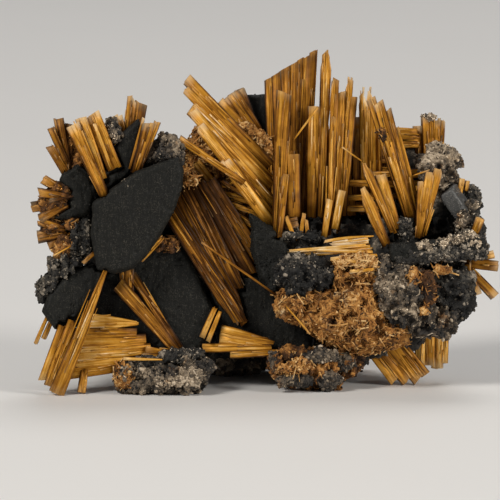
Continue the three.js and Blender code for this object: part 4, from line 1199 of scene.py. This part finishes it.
def tablet_piece(node, swell, grains, settings, finish, seed):
    """A hematite crystal: its solid with gently uneven faces, nicked edges and a few grains."""
    random = np.random.default_rng(seed)
    points, normals, faces = even_mesh(solid_form(node), settings.cell, TABLET_SMOOTHING)
    rises = np.array([face_rise(Vector(point), swell) for point in points])
    points = points + normals * (rises + TABLET_GROWTH)[:, None]
    places, facing = scattered(points, normals, faces, grains, random)
    sizes = random.uniform(*TABLET_GRAINS, grains)
    more, triangles, _ = stamped_grains(places, facing, sizes, random)
    faces = np.concatenate([faces, triangles + len(points)])
    points = np.concatenate([points, more])
    mesh = triangle_mesh(node, above_floor(points), faces)
    finished_piece(node + "_face", mesh, finish, [node])


def cluster_form(lumps):
    """Lumps given on the sheet as one form, in row millimetres."""
    form = bmesh.new()
    for x, y, depth, *half in lumps:
        turn = SHEET @ Matrix.Translation((x, y, depth)) @ Matrix.Diagonal((*half, 1))
        bmesh.ops.create_icosphere(form, subdivisions=2, radius=1, matrix=turn)
    bmesh.ops.recalc_face_normals(form, faces=form.faces)
    return form


def crust_relief(points, normals, relief, tone):
    """How far a crust rises at each point of its form, and the looks there."""
    rises = np.empty(len(points))
    look = np.zeros((len(points), 3))
    for index, point in enumerate(points):
        spot = Vector(point)
        ridge = 0.5 - abs(noise.noise(spot * RIDGE_NOISE + Vector((7, 3, 1))))
        pits = abs(noise.noise(spot * PIT_NOISE))
        gaps, knobs = noise.voronoi(spot * KNOB_NOISE)
        rise = relief * (2.2 * ridge - 0.8) + 0.4 * (pits - 0.2) + 0.16 * (0.35 - gaps[0])
        rises[index] = rise
        drift = noise.noise(spot * TONE_NOISE)
        # Painted highlight: faces turned up and towards the key light are painted lighter.
        key_highlight = max(0, normals[index] @ HIGHLIGHT_WAY)
        look[index, 0] = tone + 0.12 * noise.cell(knobs[0] * 5.1) + 0.35 * drift
        look[index, 0] += 0.16 * key_highlight
        # The rise is kept for the painted shade in the crust's pits.
        look[index, 2] = rise
    return rises, look


def loose_grains(points, normals, faces, row, settings, random):
    """Grains strewn over a crust: their points, triangles and looks."""
    _, count, _, tone, glints = row[:5]
    places, facing = scattered(points, normals, faces, count, random)
    sizes = settings.grain * random.lognormal(0, GRAIN_SPREAD, count).clip(*GRAIN_LIMITS)
    grains, triangles, corners = stamped_grains(places, facing, sizes, random)
    shiny = (random.uniform(0, 1, count) < glints).astype(float)
    drift = np.array([noise.noise(Vector(place) * TONE_NOISE) for place in places])
    # Glinting grains are also painted lighter: a painted glint.
    tones = tone + random.normal(0, GRAIN_TONE_SPREAD, count) + shiny * GLINT_TONE + 0.4 * drift
    look = np.repeat(np.stack([tones, shiny, 0 * tones], axis=1), corners, axis=0)
    return grains, triangles, look


def matted_threads(points, normals, faces, row, seed):
    """Short threads of rutile matted over a crust: their points, triangles and looks."""
    _, _, count, tone, _ = row[:5]
    strips = Strips(seed, worn=False, cuts=1)
    random = strips.random
    places, facing = scattered(points, normals, faces, count, random)
    for place, normal in zip(places, facing):
        course = np.cross(normal, random.normal(0, 1, 3))
        course = course / np.linalg.norm(course) + normal * random.uniform(*THREAD_RISE)
        reach = random.lognormal(-0.25, 0.4)
        strips.add(
            start=place - course * reach * 0.5,
            end=place + course * reach * 0.5,
            out=normal,
            width=random.uniform(*THREAD_WIDTH),
            thick=random.uniform(*THREAD_THICKNESS),
            foot=random.uniform(0.3, 1),
            slant=0,
            bow=random.normal(0, 0.07),
            tone=tone + random.normal(0.1, 0.2),
            pale=0,
            seat=0,
            spread=0,
        )
    threads, triangles, looks = strips.arrays()
    look = np.zeros_like(threads)
    look[:, 0] = looks["look"][:, 0]
    return threads.astype(np.float32), triangles, look


def joined(parts):
    """Several groups of points, triangles and looks as one."""
    points, triangles, looks = zip(*parts)
    starts = np.cumsum([0] + [len(group) for group in points[:-1]])
    triangles = [group + start for group, start in zip(triangles, starts)]
    return np.concatenate(points), np.concatenate(triangles), np.concatenate(looks)


def crust_piece(name, form, row, cell, settings, finish, seed, nodes):
    """A patch of crust: its form grown knobbly, strewn with grains and matted with threads."""
    slot, _, threads, tone, _ = row[:5]
    points, normals, faces = even_mesh(form, cell, CRUST_SMOOTHING)
    relief = settings.lump if nodes else settings.lump * CLUSTER_RELIEF
    rises, look = crust_relief(points, normals, relief, tone)
    points = points + normals * (rises + CRUST_GROWTH)[:, None]
    random = np.random.default_rng(seed)
    grains = loose_grains(points, normals, faces, row, settings, random)
    parts = [(points, faces, look), grains]
    if threads:
        parts.append(matted_threads(points, normals, faces, row, seed + 1))
    points, triangles, look = joined(parts)
    mesh = triangle_mesh(name, above_floor(points), triangles, look=look)
    finished_piece(name, mesh, finish, nodes)


def build_sheaves(sheaves, seed):
    """Each sheaf of a group as one piece, in place of the node of its name if there is one."""
    settings = bpy.context.scene.specimen_rutile
    finish = bpy.data.materials.get(RUTILE_FINISH) or rutile_finish(settings)
    for number, (name, (tone, pale, rough, laths)) in enumerate(sheaves.items()):
        strips = Strips(seed + number)
        for row in laths:
            add_lath(strips, row, tone, pale, rough, settings)
        nodes = [name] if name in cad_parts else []
        piece = name + "_crystals" if nodes else name
        points, triangles, looks = strips.arrays()
        mesh = triangle_mesh(piece, to_row(points), triangles, **looks)
        finished_piece(piece, mesh, finish, nodes)


class LeftSheavesOperator(bpy.types.Operator):
    """Build the sheaves of laths on the specimen's left tower and foot"""

    bl_idname = "specimen.left_sheaves"
    bl_label = "Left sheaves"

    def execute(self, context):
        build_sheaves(LEFT_SHEAVES, SEEDS["left"])
        return {"FINISHED"}


class MiddleSheavesOperator(bpy.types.Operator):
    """Build the tall and crossing sheaves of the middle"""

    bl_idname = "specimen.middle_sheaves"
    bl_label = "Middle sheaves"

    def execute(self, context):
        build_sheaves(MIDDLE_SHEAVES, SEEDS["middle"])
        return {"FINISHED"}


class RightSheavesOperator(bpy.types.Operator):
    """Build the sheaves of the right side"""

    bl_idname = "specimen.right_sheaves"
    bl_label = "Right sheaves"

    def execute(self, context):
        build_sheaves(RIGHT_SHEAVES, SEEDS["right"])
        return {"FINISHED"}


class BackSheavesOperator(bpy.types.Operator):
    """Build the sheaves of the back"""

    bl_idname = "specimen.back_sheaves"
    bl_label = "Back sheaves"

    def execute(self, context):
        build_sheaves(BACK_SHEAVES, SEEDS["back"])
        return {"FINISHED"}


class NeedlesOperator(bpy.types.Operator):
    """Build the fine needles that lie over the rest"""

    bl_idname = "specimen.needles"
    bl_label = "Needles"

    def execute(self, context):
        build_sheaves(NEEDLES, SEEDS["needles"])
        return {"FINISHED"}


class TabletsOperator(bpy.types.Operator):
    """Build the hematite tablets"""

    bl_idname = "specimen.tablets"
    bl_label = "Tablets"

    def execute(self, context):
        settings = context.scene.specimen_hematite
        dull = hematite_finish("dull_hematite", settings.slate, settings.bloom, 0)
        # The facet's far lighter colours paint the light that its flat face reflects.
        bright = hematite_finish("facet_painted_reflection", FACET_REFLECTION_SLATE, FACET_REFLECTION_BLOOM, 1)
        for number, (node, (swell, grains)) in enumerate(TABLETS.items()):
            finish = bright if node == "facet_crystal" else dull
            tablet_piece(node, swell, grains, settings, finish, SEEDS["tablets"] + number)
        return {"FINISHED"}


class CrustsOperator(bpy.types.Operator):
    """Build the granular crusts and the matrix"""

    bl_idname = "specimen.crusts"
    bl_label = "Crusts"

    def execute(self, context):
        settings = context.scene.specimen_crust
        finishes = {name: crust_finish(name) for name in CRUST_STOPS}
        for number, (node, row) in enumerate(CRUSTS.items()):
            cell = settings.matrix_cell if node == "matrix" else settings.cell
            form, finish = solid_form(node), finishes[row[0]]
            seed = SEEDS["crusts"] + 2 * number
            crust_piece(node + "_grains", form, row, cell, settings, finish, seed, [node])
        for number, (name, row) in enumerate(CLUSTERS.items()):
            form, finish = cluster_form(row[5]), finishes[row[0]]
            seed = SEEDS["clusters"] + 2 * number
            crust_piece(name, form, row, settings.cell, settings, finish, seed, [])
        return {"FINISHED"}


class StageOperator(bpy.types.Operator):
    """Set up the pale floor, the soft lights and the camera"""

    bl_idname = "specimen.stage"
    bl_label = "Stage"

    def execute(self, context):
        settings = context.scene.specimen_stage
        make_floor(settings)
        make_lights()
        make_camera(context.scene, settings)
        return {"FINISHED"}


def make_floor(settings):
    """A wide pale floor under the specimen."""
    form = bmesh.new()
    bmesh.ops.create_grid(form, x_segments=8, y_segments=8, size=FLOOR_HALF)
    mesh = bpy.data.meshes.new("floor")
    form.to_mesh(mesh)
    form.free()
    floor = bpy.data.objects.new("floor", mesh)
    bpy.context.scene.collection.objects.link(floor)
    finish = Finish("floor")
    tint = finish.noise(finish.millimetres(), 0.02, 2.0)
    color = finish.mixed(tint, tuple(settings.floor), tuple(0.97 * c for c in settings.floor))
    mesh.materials.append(finish.surface(Base_Color=color, Roughness=0.6))


def make_lights():
    """A key from the upper left, a fill from the right, a rim from behind and a faint sky."""
    for name, (place, size, power, color) in LIGHTS.items():
        data = bpy.data.lights.new(name, "AREA")
        data.size = size
        data.energy = power
        data.color = color
        light = bpy.data.objects.new(name, data)
        light.location = place
        way = Vector(LIGHT_TARGET) - Vector(place)
        light.rotation_euler = way.to_track_quat("-Z", "Y").to_euler()
        bpy.context.scene.collection.objects.link(light)
    world = bpy.data.worlds.new("studio")
    world.use_nodes = True
    background = world.node_tree.nodes["Background"]
    background.inputs["Color"].default_value = SKY_COLOR
    background.inputs["Strength"].default_value = SKY_STRENGTH
    bpy.context.scene.world = world
    bpy.context.scene.view_settings.view_transform = "Standard"


def make_camera(scene, settings):
    """The camera looks squarely at the sheet's middle, from the eye's side."""
    data = bpy.data.cameras.new("camera")
    data.sensor_width = SENSOR_WIDTH
    data.lens = SENSOR_WIDTH * settings.distance / settings.field
    data.clip_start = 0.01
    data.clip_end = 10
    camera = bpy.data.objects.new("camera", data)
    half = settings.field / MM / 2
    eye = SHEET @ Vector((half, half, FRONT_DEPTH - settings.distance / MM))
    camera.location = eye * MM
    camera.rotation_euler = (math.pi / 2 - VIEW_TILT, 0, 0)
    scene.collection.objects.link(camera)
    scene.camera = camera


class SpecimenPanel(bpy.types.Panel):
    """The specimen's steps and sizes"""

    bl_idname = "VIEW3D_PT_specimen"
    bl_label = "Rutile on Hematite"
    bl_space_type = "VIEW_3D"
    bl_region_type = "UI"
    bl_category = "Specimen"

    def draw(self, context):
        for operator in OPERATORS:
            self.layout.operator(operator.bl_idname)
        for key, group in GROUPS.items():
            box = self.layout.box()
            for field in group.__annotations__:
                box.prop(getattr(context.scene, key), field)


OPERATORS = [
    LeftSheavesOperator,
    MiddleSheavesOperator,
    RightSheavesOperator,
    BackSheavesOperator,
    NeedlesOperator,
    TabletsOperator,
    CrustsOperator,
    StageOperator,
]
GROUPS = {
    "specimen_rutile": RutileSettings,
    "specimen_hematite": HematiteSettings,
    "specimen_crust": CrustSettings,
    "specimen_stage": StageSettings,
}


def register():
    for group in GROUPS.values():
        bpy.utils.register_class(group)
    for key, group in GROUPS.items():
        setattr(bpy.types.Scene, key, bpy.props.PointerProperty(type=group))
    for operator in OPERATORS:
        bpy.utils.register_class(operator)
    bpy.utils.register_class(SpecimenPanel)


def unregister():
    bpy.utils.unregister_class(SpecimenPanel)
    for operator in reversed(OPERATORS):
        bpy.utils.unregister_class(operator)
    for key in GROUPS:
        delattr(bpy.types.Scene, key)
    for group in reversed(list(GROUPS.values())):
        bpy.utils.unregister_class(group)


def main():
    register()
    for operator in OPERATORS:
        group, name = operator.bl_idname.split(".")
        getattr(getattr(bpy.ops, group), name)()


if __name__ == "__main__":
    main()
